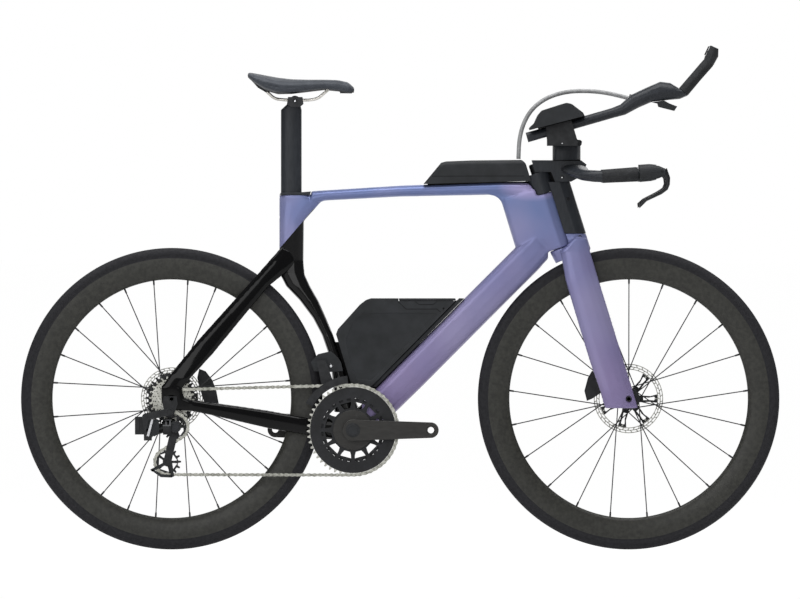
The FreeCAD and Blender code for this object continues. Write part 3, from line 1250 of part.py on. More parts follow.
SLANT = math.radians(d.link_slant)
LINK_AXIS = V(0, math.sin(SLANT), math.cos(SLANT))
LINK_APART = V(0, math.cos(SLANT), -math.sin(SLANT))
CAGE_OUTER = d.cog_line + d.cage_gap + d.cage_plate
LOWER_INNER = -CAGE_OUTER - d.clearance
LOWER_OUTER = LOWER_INNER - d.lower_knuckle_length
LINK_CENTRE = V(GUIDE.x - d.lower_knuckle_radius - d.knuckle_radius,
                (LOWER_INNER + LOWER_OUTER) / 2 - d.link_offset, GUIDE.z)
REST = math.radians(d.link_rest)
LINK_ALONG = V(math.cos(REST), 0, 0) - LINK_APART * math.sin(REST)
UPPER_CENTRE = LINK_CENTRE - LINK_ALONG * d.link_length


def pivot(centre, which):
    return centre + LINK_APART * (d.link_spacing / 2 * which)


def knuckle_ears(centre, web_side):
    """Two ear plates with the pivot pins between them, tied by a web on one side."""
    half = d.link_height / 2 + d.clearance
    eye = d.link_thickness + d.pivot_radius
    web_x = web_side * (eye + d.ear_thickness / 2)
    parts = []
    for side in (-1, 1):
        low, high = sorted((side * half, side * (half + d.ear_thickness)))
        reach = d.link_spacing / 2 + eye
        corners = [centre + V(x, 0, 0) + LINK_APART * e + LINK_AXIS * low
                   for x, e in ((-eye, -reach), (eye, -reach), (eye, reach), (-eye, reach))]
        parts.append(Part.Face(Part.makePolygon(corners + corners[:1])).extrude(LINK_AXIS * (high - low)))
    top = half + d.ear_thickness
    reach = d.link_spacing / 2 + eye
    web = [centre + V(web_x + x, 0, 0) + LINK_APART * e - LINK_AXIS * top
           for x, e in ((-d.ear_thickness / 2, -reach), (d.ear_thickness / 2, -reach),
                        (d.ear_thickness / 2, reach), (-d.ear_thickness / 2, reach))]
    parts.append(Part.Face(Part.makePolygon(web + web[:1])).extrude(LINK_AXIS * (2 * top)))
    for which in (-1, 1):
        pin = pivot(centre, which)
        parts.append(rod(pin - LINK_AXIS * top, pin + LINK_AXIS * top, d.pivot_radius))
    return parts


def link(which):
    start, end = pivot(UPPER_CENTRE, which), pivot(LINK_CENTRE, which)
    half = LINK_AXIS * (d.link_height / 2)
    bar_half = LINK_AXIS.cross(LINK_ALONG) * (d.link_thickness / 2)
    corners = [start - bar_half - half, end - bar_half - half, end + bar_half - half, start + bar_half - half]
    bar = Part.Face(Part.makePolygon(corners + corners[:1])).extrude(half * 2)
    eyes = [rod(p - half, p + half, d.link_thickness) for p in (start, end)]
    holes = [rod(p - half, p + half, d.pivot_radius + d.fit, d.overrun) for p in (start, end)]
    return joined(bar, *eyes).cut(Part.makeCompound(holes))


UPPER_INNER = HANGER_Y - d.hanger_thickness - d.fit
UPPER_OUTER = UPPER_INNER - d.knuckle_length


def upper_knuckle():
    bolt, elbow = set_out(REAR_AXLE, REAR_AXLE_PX, [KNUCKLE_PX, ELBOW_PX])
    foot = UPPER_CENTRE - V(d.link_thickness + d.pivot_radius + d.ear_thickness / 2, 0, 0)
    arms = [capsule(a, d.knuckle_radius, b, small, UPPER_INNER, UPPER_OUTER)
            for a, b, small in ((bolt, elbow, d.knuckle_radius), (elbow, foot, d.ear_thickness / 2))]
    return joined(*arms, *knuckle_ears(UPPER_CENTRE, -1))


def lower_knuckle():
    barrel = across(GUIDE, LOWER_INNER, LOWER_OUTER, d.lower_knuckle_radius)
    neck = Part.makeBox(d.lower_knuckle_radius + d.ear_thickness, d.lower_knuckle_length, d.lower_knuckle_radius,
                        V(GUIDE.x - d.lower_knuckle_radius - d.ear_thickness / 2, LOWER_OUTER,
                          GUIDE.z - d.lower_knuckle_radius / 2))
    body = joined(barrel, neck, *knuckle_ears(LINK_CENTRE, 1))
    depth = LOWER_INNER - d.lower_knuckle_length * STUB_SHARE - d.clearance
    return body.cut(across(GUIDE, LOWER_INNER + d.overrun, depth, d.cage_stub_radius + d.fit))


STUB_SHARE = 0.6


def cage():
    plates = []
    for side in (-1, 1):
        near = -d.cog_line + side * d.cage_gap
        plates.append(capsule(GUIDE, d.cage_half, TENSION, d.cage_half, near, near + side * d.cage_plate))
    pins = [across(c, -CAGE_OUTER, 2 * d.cage_gap + 2 * d.cage_plate - CAGE_OUTER, d.cage_axle_radius)
            for c in (GUIDE, TENSION)]
    stub = across(GUIDE, -CAGE_OUTER, LOWER_INNER - d.lower_knuckle_length * STUB_SHARE, d.cage_stub_radius)
    return joined(*plates, *pins, stub)


def pulley(centre):
    wheel = toothed(centre, d.pulley_teeth, -d.cog_line, d.ring_thickness, phase_of(centre))
    low, high = -d.cog_line - d.overrun, d.overrun - d.cog_line
    rim_foot = pitch_radius(d.pulley_teeth) - d.tooth_root - d.cage_plate
    openings = windows(centre, d.pulley_windows, d.cage_half + d.cage_plate, rim_foot, 0.6, 0.75, low, high)
    return wheel.cut(Part.makeCompound(openings + [across(centre, low, high, d.cage_axle_radius + d.fit)]))


BATTERY_SHARE = 0.1


def rear_battery():
    """The motor battery clipped behind the upper knuckle."""
    eye = d.link_thickness + d.pivot_radius + d.ear_thickness
    height, width = d.battery_length * 2, d.battery_length
    corner = UPPER_CENTRE - V(eye + d.battery_length, width / 2, height * BATTERY_SHARE)
    return Part.makeBox(d.battery_length - d.fit, width, height, corner)


add("rear_mech_upper_knuckle", upper_knuckle(), rear_battery())
add("rear_mech_outer_link", link(-1))
add("rear_mech_inner_link", link(1))
add("rear_mech_lower_knuckle", lower_knuckle())
add("rear_mech_cage", cage())
add("guide_pulley", pulley(GUIDE))
add("tension_pulley", pulley(TENSION))

# Front derailleur

FRONT_MECH_PX = [
    (311, 362), (318, 354), (331, 351), (338, 357.5), (341, 362), (343, 371), (328, 372), (314, 371),
]
FRONT_CAGE_ARC = (96.0, 150.0)
FRONT_PIN_PX, FRONT_TAB_PX = (321, 364), [(316.5, 360), (325.5, 360), (334, 383), (322, 387)]
FRONT_PIN, = set_out(BB, BB_PX, [FRONT_PIN_PX])


def front_cage():
    """Two curved plates either side of the chain above the big ring, tied at the tail and on top."""
    low = pitch_radius(d.big_ring_teeth) + d.front_cage_gap
    start, end = (math.radians(a) for a in FRONT_CAGE_ARC)

    def arc_plate(y_from, y_to):
        def point(angle, radius):
            return BB + V(math.cos(angle) * radius, y_from, math.sin(angle) * radius)
        middle = (start + end) / 2
        high = low + d.front_cage_height
        wire = Part.Wire([
            Part.Arc(point(start, low), point(middle, low), point(end, low)).toShape(),
            Part.makeLine(point(end, low), point(end, high)),
            Part.Arc(point(end, high), point(middle, high), point(start, high)).toShape(),
            Part.makeLine(point(start, high), point(start, low)),
        ])
        return Part.Face(wire).extrude(V(0, y_to - y_from, 0))

    outer = arc_plate(-d.front_cage_outer, d.front_cage_plate - d.front_cage_outer)
    inner = arc_plate(-d.front_cage_inner - d.front_cage_plate, -d.front_cage_inner)
    high = low + d.front_cage_height
    top = (start * 2 + end) / 3
    tie_at = BB + V(math.cos(top), 0, math.sin(top)) * (high - d.front_cage_plate * 2)
    tie = across(tie_at, -d.front_cage_outer, -d.front_cage_inner, d.front_cage_plate * 2)
    tab = plate(set_out(BB, BB_PX, FRONT_TAB_PX), -d.front_cage_inner - d.front_cage_plate, -d.front_cage_inner)
    pin = across(FRONT_PIN, -d.front_cage_inner, d.front_pin_length - d.front_cage_inner, d.front_pin_radius)
    return joined(outer, inner, tie, tab, pin)


def front_mech():
    """The front derailleur's motor body, held to the side of the seat tube."""
    outer = d.front_cage_travel - d.front_cage_inner + d.clearance
    body = plate(set_out(BB, BB_PX, FRONT_MECH_PX), outer, outer + d.front_mech_depth).cut(FRONT_TRIANGLE)
    body = body.translated(V(0, -d.fit, 0))
    return body.cut(across(FRONT_PIN, -d.front_cage_outer, 0, d.front_pin_radius + d.fit))


add("front_mech_body", front_mech())
add("front_mech_cage", front_cage())

# Cockpit fittings and the drink hose

MOUNT_PX = [(651, 102.32), (657, 103.6), (658, 107), (674, 111), (677, 106.5), (669, 103.4), (664, 100.52)]
CLIP_SHARE = 1.6
HOSE_PX = [
    (518.48, 158.98), (518.7, 146.92), (520.31, 133.8), (524.49, 120.99), (531.52, 109.51), (542.01, 100.48),
    (555, 94.52), (569.99, 91.32), (586.01, 90.92), (601.98, 92.12), (615.99, 94.88), (628.62, 98.17),
]
HOSE_ROUTE = outline(HOSE_PX)


def hose_clip():
    """A cross bar between the extensions with the socket that takes the hose's end."""
    before, end = HOSE_ROUTE[-2:]
    along = (end - before).normalize()
    socket = rod(end, end + along * d.mount_half * 2, d.hose_radius * 2)
    reach = d.extension_half_spacing - d.extension_radius * CLIP_SHARE
    bar = across(end + along * d.mount_half - V(0, 0, d.mount_half / 2), -reach, reach, d.mount_half / 2)
    return joined(socket, bar)


HOSE, HOSE_LENGTH, HOSE_RADII = bent_tube(HOSE_ROUTE, d.hose_radius)
print("drink hose length", round(HOSE_LENGTH, 1), "radii", [round(r) for r in HOSE_RADII])
print("chain links", LINK_COUNT, "cage swing", round(CAGE_SWING, 2))
add("drink_hose", HOSE)
add("computer_mount", hose_clip(), plate(outline(MOUNT_PX), -d.extension_half_spacing - d.mount_half,
                                         d.mount_half - d.extension_half_spacing))

doc.recompute()
os.makedirs("parts", exist_ok=True)
for thing in doc.Objects:
    if "Invalid" in thing.State or "Error" in thing.State:
        raise RuntimeError(f"{thing.Label} failed: {thing.State}")
for node in NODES:
    if node.Shape.isNull() or not node.Shape.isValid():
        raise RuntimeError(f"{node.Label} has no valid shape")
    if not node.Shape.Solids or node.Shape.Volume <= 0:
        raise RuntimeError(f"{node.Label} has no solid")
    node.Shape.exportStep(f"parts/{node.Label}.step")
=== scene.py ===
# %% [markdown]
# # A time trial bike, dressed for the studio
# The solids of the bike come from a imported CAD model, in metres: +X is forward,
# +Y is the rider's left and +Z is up. This lesson keeps their places and sizes,
# gives every surface a finish, and builds the things that solids alone do not
# show: seams, bolts, a real chain, foam, a hose.

# %% Load the frame
import json
import math
import bpy
import bmesh
from mathutils import Matrix, Vector
from mathutils.bvhtree import BVHTree


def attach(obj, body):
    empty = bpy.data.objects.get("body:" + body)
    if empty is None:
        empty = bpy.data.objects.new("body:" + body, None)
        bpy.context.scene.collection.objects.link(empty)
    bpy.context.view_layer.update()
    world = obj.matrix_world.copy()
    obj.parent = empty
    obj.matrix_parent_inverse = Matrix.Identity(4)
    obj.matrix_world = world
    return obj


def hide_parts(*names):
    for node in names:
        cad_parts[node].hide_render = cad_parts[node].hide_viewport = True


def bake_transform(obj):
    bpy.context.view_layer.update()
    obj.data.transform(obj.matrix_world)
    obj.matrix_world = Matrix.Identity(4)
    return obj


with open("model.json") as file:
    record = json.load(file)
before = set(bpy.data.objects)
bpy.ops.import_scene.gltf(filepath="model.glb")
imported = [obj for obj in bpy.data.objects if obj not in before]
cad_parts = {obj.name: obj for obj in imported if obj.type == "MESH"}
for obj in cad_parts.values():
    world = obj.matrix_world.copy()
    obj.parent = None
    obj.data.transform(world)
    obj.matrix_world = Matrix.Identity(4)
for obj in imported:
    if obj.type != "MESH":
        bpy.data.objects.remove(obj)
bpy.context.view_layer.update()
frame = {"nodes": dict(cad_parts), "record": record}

SCENE = bpy.context.scene

# %% [markdown]
# ## One scale for the side view
# The photograph is 800 pixels wide. Both tyres are road tyres 678 mm across and
# measure 301.6 pixels, so one pixel is 2.248 mm in the bike's middle plane. The
# helper below turns a pixel into a point of that plane, for the small fittings
# that are placed one by one.

# %% Side-view helper
PHOTO_WIDTH, PHOTO_HEIGHT = 800, 599
TYRE_RADIUS, TYRE_RADIUS_PX = 0.339, 150.8
PIXEL = TYRE_RADIUS / TYRE_RADIUS_PX
MIDDLE_PX, GROUND_PX, AXLE_PX = 400.2, 549.5, 398.7


def spot(px, py, y=0.0):
    """The point at a pixel of the side view, y metres to the left of the middle plane."""
    return Vector(((px - MIDDLE_PX) * PIXEL, y, (GROUND_PX - py) * PIXEL))


REAR_AXLE, FRONT_AXLE = spot(171.8, AXLE_PX), spot(628.6, AXLE_PX)
CRANK_PX, CRANK_HEIGHT = 353, 0.269
CRANK_AXIS = Vector((spot(CRANK_PX, 0).x, 0, CRANK_HEIGHT))
print("axles", REAR_AXLE, FRONT_AXLE)

# %% [markdown]
# ## Camera, light and floor
# A long lens stands far off at bar height, as catalogue photographers do, so the
# far side hides behind the near side. The floor and the sky are white for camera
# rays only: the bike itself is lit by three broad soft lamps at a plain level.

# %% Camera
CAMERA_DISTANCE, CAMERA_HEIGHT, FARTHEST = 60.0, 0.9, 400
SENSOR = 36.0
aim = spot(PHOTO_WIDTH / 2, PHOTO_HEIGHT / 2)
camera_data = bpy.data.cameras.new("studio_camera")
camera_data.sensor_width = SENSOR
camera_data.lens = SENSOR * CAMERA_DISTANCE / (PHOTO_WIDTH * PIXEL)
camera_data.clip_end = FARTHEST
camera = bpy.data.objects.new("studio_camera", camera_data)
SCENE.collection.objects.link(camera)
camera.location = (aim.x, -CAMERA_DISTANCE, CAMERA_HEIGHT)
camera.rotation_euler = (aim - camera.location).to_track_quat("-Z", "Y").to_euler()
SCENE.camera = camera
SCENE.view_settings.view_transform = "Standard"
print("lens", round(camera_data.lens, 1))

# %% World, lamps and floor
WHITE = (1, 1, 1, 1)
SKY_FILL, SKY_SEEN = 0.3, 1.0
LAMP_TARGET = Vector((0, 0, 0.5))
FLOOR_REACH, FLOOR_SHADE, FLOOR_GLOW, FLOOR_GLOW_SHARE = 150.0, (0.8, 0.8, 0.8, 1), 1.12, 0.86


def link(tree, source, target):
    tree.links.new(source, target)


def maths(tree, operation, first, second):
    """A Math node on two values, each a number or a socket."""
    node = tree.nodes.new("ShaderNodeMath")
    node.operation = operation
    for socket, value in zip(node.inputs, (first, second)):
        if isinstance(value, (int, float)):
            socket.default_value = value
        else:
            link(tree, value, socket)
    return node.outputs[0]


def seen_directly(tree):
    """1 for camera, glossy and transmission rays, 0 for the rays that light the bike."""
    ray = tree.nodes.new("ShaderNodeLightPath").outputs
    seen = maths(tree, "MAXIMUM", ray["Is Camera Ray"], ray["Is Glossy Ray"])
    return maths(tree, "MAXIMUM", seen, ray["Is Transmission Ray"])


def mix_shaders(tree, share, first, second, output):
    """Joins two shaders by a share and leads them to a new output node."""
    mix, out = tree.nodes.new("ShaderNodeMixShader"), tree.nodes.new(output)
    for socket, source in zip(mix.inputs, (share, first.outputs[0], second.outputs[0])):
        link(tree, source, socket)
    link(tree, mix.outputs[0], out.inputs[0])


world = bpy.data.worlds.new("white_studio")
SCENE.world = world
world.use_nodes = True
sky = world.node_tree
sky.nodes.clear()
dim, bright = sky.nodes.new("ShaderNodeBackground"), sky.nodes.new("ShaderNodeBackground")
for shader, strength in ((dim, SKY_FILL), (bright, SKY_SEEN)):
    shader.inputs["Color"].default_value = WHITE
    shader.inputs["Strength"].default_value = strength
is_camera = sky.nodes.new("ShaderNodeLightPath").outputs["Is Camera Ray"]
mix_shaders(sky, is_camera, dim, bright, "ShaderNodeOutputWorld")


def lamp(name, place, size, power):
    data = bpy.data.lights.new(name, "AREA")
    data.shape, data.size, data.size_y, data.energy = "RECTANGLE", size[0], size[1], power
    lamp_object = bpy.data.objects.new(name, data)
    SCENE.collection.objects.link(lamp_object)
    lamp_object.location = place
    lamp_object.rotation_euler = (LAMP_TARGET - Vector(place)).to_track_quat("-Z", "Y").to_euler()


lamp("overhead_bank", (0, -0.6, 3.6), (4.5, 2.0), 140)
lamp("camera_side_bank", (-1.2, -4.5, 1.8), (3.0, 2.0), 52)
lamp("far_side_bank", (1.0, 4.0, 2.2), (3.0, 2.0), 34)

floor_mesh = bpy.data.meshes.new("studio_floor")
corners = [(x * FLOOR_REACH, y * FLOOR_REACH, 0) for x, y in ((-1, -1), (1, -1), (1, 1), (-1, 1))]
floor_mesh.from_pydata(corners, [], [(0, 1, 2, 3)])
floor = bpy.data.objects.new("studio_floor", floor_mesh)
SCENE.collection.objects.link(floor)
floor_finish = bpy.data.materials.new("white_floor")
floor_finish.use_nodes = True
tree = floor_finish.node_tree
tree.nodes.clear()
matt, glow = tree.nodes.new("ShaderNodeBsdfDiffuse"), tree.nodes.new("ShaderNodeEmission")
matt.inputs["Color"].default_value = FLOOR_SHADE
glow.inputs["Strength"].default_value = FLOOR_GLOW
glow_share = maths(tree, "MULTIPLY", seen_directly(tree), FLOOR_GLOW_SHARE)
mix_shaders(tree, glow_share, matt, glow, "ShaderNodeOutputMaterial")
floor_mesh.materials.append(floor_finish)

# %% [markdown]
# ## The drink hose comes first
# A pale hose leaves the top-tube box, arches over the arm rests and goes into a
# clip between the extensions. It is a stiff, smooth curve, so a NURBS spline
# follows the same points as the CAD tube.

# %% Drink hose
HOSE_POINTS = [
    (0.2659, 0.8779), (0.2664, 0.9050), (0.2700, 0.9345), (0.2794, 0.9633), (0.2952, 0.9891),
    (0.3188, 1.0094), (0.3480, 1.0228), (0.3817, 1.0300), (0.4177, 1.0309), (0.4536, 1.0282),
    (0.4851, 1.0220), (0.5135, 1.0146),
]
HOSE_DIAMETER = 0.0095
hose_curve = bpy.data.curves.new("drink_hose_line", "CURVE")
hose_curve.dimensions = "3D"
spline = hose_curve.splines.new("NURBS")
spline.points.add(len(HOSE_POINTS) - 1)
for point, (x, z) in zip(spline.points, HOSE_POINTS):
    point.co = (x, 0, z, 1)
spline.order_u = 3
spline.use_endpoint_u = True
spline.resolution_u = 12
hose_line = bpy.data.objects.new("drink_hose_line", hose_curve)
SCENE.collection.objects.link(hose_line)


def as_mesh(source):
    """The object's present shape, modifiers and all, as a plain mesh."""
    bpy.context.view_layer.update()
    return bpy.data.meshes.new_from_object(source.evaluated_get(bpy.context.evaluated_depsgraph_get()))


HOSE_PATH = [vert.co.copy() for vert in as_mesh(hose_line).vertices]
hose_curve.bevel_depth = HOSE_DIAMETER / 2
hose_curve.bevel_resolution = 6
hose_curve.use_fill_caps = True
hose = bpy.data.objects.new("drink_hose_tube", as_mesh(hose_line))
SCENE.collection.objects.link(hose)
bpy.data.objects.remove(hose_line)
print("hose points", len(HOSE_POINTS), "path", len(HOSE_PATH))

# %% [markdown]
# ## Finishes
# Each finish is a small node tree on one shader. Colours are written as the eye
# reads them on a screen and turned into linear light by a helper. Grain, flake and
# wear come from noise in Object coordinates, so they stay on the piece.

# %% Finish helpers
EVEN = (1, 1, 1)


def screen(r, g, b):
    """A colour as read on a screen, 0 to 255, as linear light."""
    def part(c):
        c /= 255
        return c / 12.92 if c <= 0.04045 else ((c + 0.055) / 1.055) ** 2.4
    return (part(r), part(g), part(b), 1)


def shader_of(material):
    return material.node_tree.nodes["Principled BSDF"]


def finish(name, colour, roughness, metallic=0.0, coat=0.0, coat_roughness=0.1, sheen=0.0, shine=0.5):
    """A shader with its plain numbers set; the grain is added by the next helpers."""
    made = bpy.data.materials.new(name)
    made.use_nodes = True
    for label, value in (
            ("Base Color", colour), ("Roughness", roughness), ("Metallic", metallic), ("Coat Weight", coat),
            ("Coat Roughness", coat_roughness), ("Sheen Weight", sheen), ("Specular IOR Level", shine)):
        shader_of(made).inputs[label].default_value = value
    return made


def place_of(tree, stretch=EVEN):
    """Object coordinates, stretched by a Mapping node."""
    coordinate = tree.nodes.new("ShaderNodeTexCoord")
    mapping = tree.nodes.new("ShaderNodeMapping")
    mapping.inputs["Scale"].default_value = stretch
    link(tree, coordinate.outputs["Object"], mapping.inputs["Vector"])
    return mapping.outputs["Vector"]


def noise(tree, scale, detail=3.0, stretch=EVEN):
    node = tree.nodes.new("ShaderNodeTexNoise")
    node.inputs["Scale"].default_value = scale
    node.inputs["Detail"].default_value = detail
    link(tree, place_of(tree, stretch), node.inputs["Vector"])
    return node.outputs["Fac"]


def ramp(tree, factor, stops):
    node = tree.nodes.new("ShaderNodeValToRGB")
    while len(node.color_ramp.elements) < len(stops):
        node.color_ramp.elements.new(0.5)
    for element, (place, colour) in zip(node.color_ramp.elements, stops):
        element.position, element.color = place, colour
    link(tree, factor, node.inputs["Fac"])
    return node.outputs["Color"]


def rescale(tree, value, low, high, start=0.0, end=1.0):
    """A value from start to end, brought between low and high and held there."""
    node = tree.nodes.new("ShaderNodeMapRange")
    for label, number in (("From Min", start), ("From Max", end), ("To Min", low), ("To Max", high)):
        node.inputs[label].default_value = number
    link(tree, value, node.inputs["Value"])
    return node.outputs["Result"]


def blend_colours(tree, factor, first, second):
    """The first shade where the factor is 0, the second where it is 1; each is a colour or a socket."""
    node = tree.nodes.new("ShaderNodeMix")
    node.data_type = "RGBA"
    link(tree, factor, node.inputs["Factor"])
    for socket, shade in ((node.inputs[6], first), (node.inputs[7], second)):
        if isinstance(shade, tuple):
            socket.default_value = shade
        else:
            link(tree, shade, socket)
    return node.outputs[2]


def mottled(tree, light, dark, scale, detail=3.0, stretch=EVEN):
    """Colour that drifts between two near shades."""
    return ramp(tree, noise(tree, scale, detail, stretch), [(0.35, dark), (0.65, light)])


def grain(material, scale, height):
    """Fine bump."""
    tree = material.node_tree
    bump = tree.nodes.new("ShaderNodeBump")
    bump.inputs["Strength"].default_value = 0.5
    bump.inputs["Distance"].default_value = height
    link(tree, noise(tree, scale, 4.0), bump.inputs["Height"])
    link(tree, bump.outputs["Normal"], shader_of(material).inputs["Normal"])


def rough_drift(material, low, high, scale):
    """Roughness that varies as handled surfaces do."""
    tree = material.node_tree
    link(tree, rescale(tree, noise(tree, scale, 2.0), low, high), shader_of(material).inputs["Roughness"])


def surface(name, base, light, dark, scale, roughness, drift=None, bump=None, detail=3.0, stretch=EVEN,
            **more):
    """A mottled finish in screen colours, with drifting roughness or a fine bump where they are given."""
    made = finish(name, screen(*base), roughness, **more)
    colour = mottled(made.node_tree, screen(*light), screen(*dark), scale, detail, stretch)
    link(made.node_tree, colour, shader_of(made).inputs["Base Color"])
    if drift:
        rough_drift(made, *drift)
    if bump:
        grain(made, *bump)
    return made


def axis_parts(tree, vector):
    node = tree.nodes.new("ShaderNodeSeparateXYZ")
    link(tree, vector, node.inputs[0])
    return node.outputs


def radius_about(tree, axle):
    """Distance from a wheel's axis, in metres."""
    x, _, z = axis_parts(tree, place_of(tree))
    return maths(tree, "POWER", maths(
        tree, "ADD", maths(tree, "POWER", maths(tree, "SUBTRACT", x, axle.x), 2.0),
        maths(tree, "POWER", maths(tree, "SUBTRACT", z, axle.z), 2.0)), 0.5)


def side_of_line(tree, start, end):
    """Positive above the line through two points of the side view, in metres."""
    along = (end - start).normalized()
    x, _, z = axis_parts(tree, place_of(tree))
    return maths(tree, "SUBTRACT",
                 maths(tree, "MULTIPLY", maths(tree, "SUBTRACT", z, start.z), along.x),
                 maths(tree, "MULTIPLY", maths(tree, "SUBTRACT", x, start.x), along.z))


# %% The finishes
LAVENDER, MAUVE, SLATE = screen(122, 122, 163), screen(126, 115, 154), screen(104, 117, 161)
# PALE tints the random clouds; the pink shade and its oval at the head tube's top are a painted highlight.
PALE, PAINTED_HIGHLIGHT = screen(150, 145, 178), screen(166, 155, 198)
PAINTED_HIGHLIGHT_AT, PAINTED_HIGHLIGHT_REACH = spot(532, 187), (0.08, 0.033)
MAUVE_HEIGHT, SLATE_HEIGHT = spot(0, 400).z, spot(0, 190).z


def violet_shift(tree):
    """Shift paint: mauve low down, slate blue high up, with pale clouds and a painted highlight at the head
    tube.
    """
    x, _, z = axis_parts(tree, place_of(tree))
    drift = maths(tree, "MULTIPLY", maths(tree, "SUBTRACT", noise(tree, 7.0), 0.5), 0.7)
    height = maths(tree, "ADD", rescale(tree, z, 0.0, 1.0, MAUVE_HEIGHT, SLATE_HEIGHT), drift)
    shade = ramp(tree, height, [(0.1, MAUVE), (0.6, LAVENDER), (1.0, SLATE)])
    clouds = blend_colours(tree, rescale(tree, noise(tree, 5.0, 1.0), 0.0, 0.7, 0.5, 0.75), shade, PALE)
    # The pink oval at the head tube's top is a painted highlight.
    squares = []
    for value, centre, reach in ((x, PAINTED_HIGHLIGHT_AT.x, PAINTED_HIGHLIGHT_REACH[0]), (z, PAINTED_HIGHLIGHT_AT.z, PAINTED_HIGHLIGHT_REACH[1])):
        away = maths(tree, "MULTIPLY", maths(tree, "SUBTRACT", value, centre), 1 / reach)
        squares.append(maths(tree, "MULTIPLY", away, away))
    return blend_colours(tree, rescale(tree, maths(tree, "ADD", *squares), 0.8, 0.0), clouds, PAINTED_HIGHLIGHT)


gloss_black = surface("gloss_black", (8, 8, 9), (9, 9, 10), (6, 6, 7), 9.0, 0.08, (0.06, 0.12, 12),
                      shine=0.16)
satin_carbon = surface("satin_carbon", (38, 41, 46), (41, 44, 49), (34, 37, 42), 220, 0.46, (0.36, 0.48, 30),
                       stretch=(1, 1, 0.2), shine=0.25)
crank_carbon = surface("crank_carbon", (38, 37, 35), (42, 41, 39), (34, 33, 31), 150, 0.36, (0.3, 0.42, 40),
                       stretch=(0.3, 1, 1), coat=0.1, coat_roughness=0.2, shine=0.3)
rim_carbon = surface("rim_carbon", (46, 46, 43), (52, 52, 48), (40, 40, 37), 120, 0.42, (0.34, 0.46, 25),
                     detail=6, coat=0.08, coat_roughness=0.3, shine=0.25)
tyre_rubber = surface("tyre_rubber", (36, 36, 39), (41, 41, 44), (34, 34, 37), 140, 0.75,
                      bump=(900, 0.0002), shine=0.2)
moulded_black = surface("moulded_black", (38, 40, 43), (42, 44, 47), (34, 36, 38), 30, 0.58,
                        bump=(1500, 0.00012), shine=0.25)
grip_rubber = surface("grip_rubber", (40, 41, 43), (46, 47, 49), (34, 35, 37), 60, 0.78,
                      bump=(1100, 0.0004), shine=0.25)
black_anodised = surface("black_anodised", (34, 35, 37), (40, 41, 43), (29, 30, 32), 80, 0.38,
                         (0.32, 0.45, 60), metallic=0.6)
spoke_black = surface("spoke_black", (38, 38, 40), (44, 44, 46), (32, 32, 34), 50, 0.4, metallic=0.5)
bright_steel = surface("bright_steel", (176, 176, 170), (188, 188, 182), (156, 156, 150), 120, 0.28,
                       (0.22, 0.36, 90), metallic=1.0)
chain_steel = surface("chain_steel", (168, 168, 160), (186, 186, 178), (132, 132, 124), 160, 0.3,
                      (0.24, 0.4, 140), metallic=1.0)
rail_steel = surface("rail_steel", (196, 193, 187), (206, 203, 197), (170, 168, 163), 70, 0.3,
                     (0.2, 0.34, 80), metallic=1.0)
silver_alloy = surface("silver_alloy", (196, 197, 200), (204, 205, 208), (184, 185, 188), 60, 0.3,
                       metallic=1.0)
saddle_skin = surface("saddle_skin", (57, 61, 68), (62, 66, 73), (51, 55, 62), 45, 0.58,
                      bump=(700, 0.0003), sheen=0.08, shine=0.3)
pad_foam = surface("pad_foam", (36, 37, 40), (46, 47, 50), (34, 35, 38), 180, 0.88,
                   bump=(1400, 0.0006), sheen=0.08, shine=0.2)
hose_plastic = surface("hose_plastic", (150, 151, 152), (158, 159, 160), (138, 139, 140), 90, 0.3)
shader_of(hose_plastic).inputs["Transmission Weight"].default_value = 0.15
# One near-black finish for the seams, which are dark joints, and for the painted shade in gaps, holes and
# axle bores.
dark_joint_and_gap_shade = surface("dark_joint_and_gap_shade", (16, 16, 17), (18, 18, 19), (13, 13, 14), 60, 0.8, shine=0.1)
print("finishes", len(bpy.data.materials))

# %% [markdown]
# ## Two colours on one piece
# The front of the frame is violet and the foot of the seat tube is gloss black; the
# chainrings are black with bright teeth, and the largest sprocket is dark. Each is
# one finish that asks where a point lies: on which side of a line, how far from an
# axis, or how far to the side.


# %% Two-tone finishes
def two_tone(name, measure, edge, below, above, roughness, metallic, coat=0.0, shine=0.5):
    """Below and above are (light, dark) colours or a shade's maker; the others have a value for each."""
    made = finish(name, screen(30, 30, 30), roughness[0], coat=coat, shine=shine)
    tree, sockets = made.node_tree, shader_of(made).inputs
    switch = maths(tree, "GREATER_THAN", measure(tree), edge)
    shades = [side(tree) if callable(side) else mottled(tree, *side, 40.0) for side in (below, above)]
    link(tree, blend_colours(tree, switch, *shades), sockets["Base Color"])
    link(tree, rescale(tree, switch, *roughness), sockets["Roughness"])
    link(tree, rescale(tree, switch, *metallic), sockets["Metallic"])
    return made


TOP_TUBE_FOOT, TOP_BOX_FOOT, DOWN_TUBE_REAR = spot(0, 209).z, spot(0, 182.5).z, spot(362, 0).x
PAINT_LINE = spot(279.5, 248.5), spot(304, 220)


def violet_places(tree):
    """1 where the frame is violet: above the slanting line and on both tubes, up to the top box."""
    x, _, z = axis_parts(tree, place_of(tree))
    on_top_tube = maths(tree, "GREATER_THAN", z, TOP_TUBE_FOOT)
    ahead = maths(tree, "GREATER_THAN", x, DOWN_TUBE_REAR)
    above_line = maths(tree, "GREATER_THAN", side_of_line(tree, *PAINT_LINE), 0.0)
    violet = maths(tree, "MAXIMUM", maths(tree, "MAXIMUM", on_top_tube, ahead), above_line)
    return maths(tree, "MULTIPLY", violet, maths(tree, "LESS_THAN", z, TOP_BOX_FOOT))


def height_of(tree):
    return axis_parts(tree, place_of(tree))[2]


def sideways(tree):
    return axis_parts(tree, place_of(tree))[1]


def from_crank(tree):
    return radius_about(tree, CRANK_AXIS)


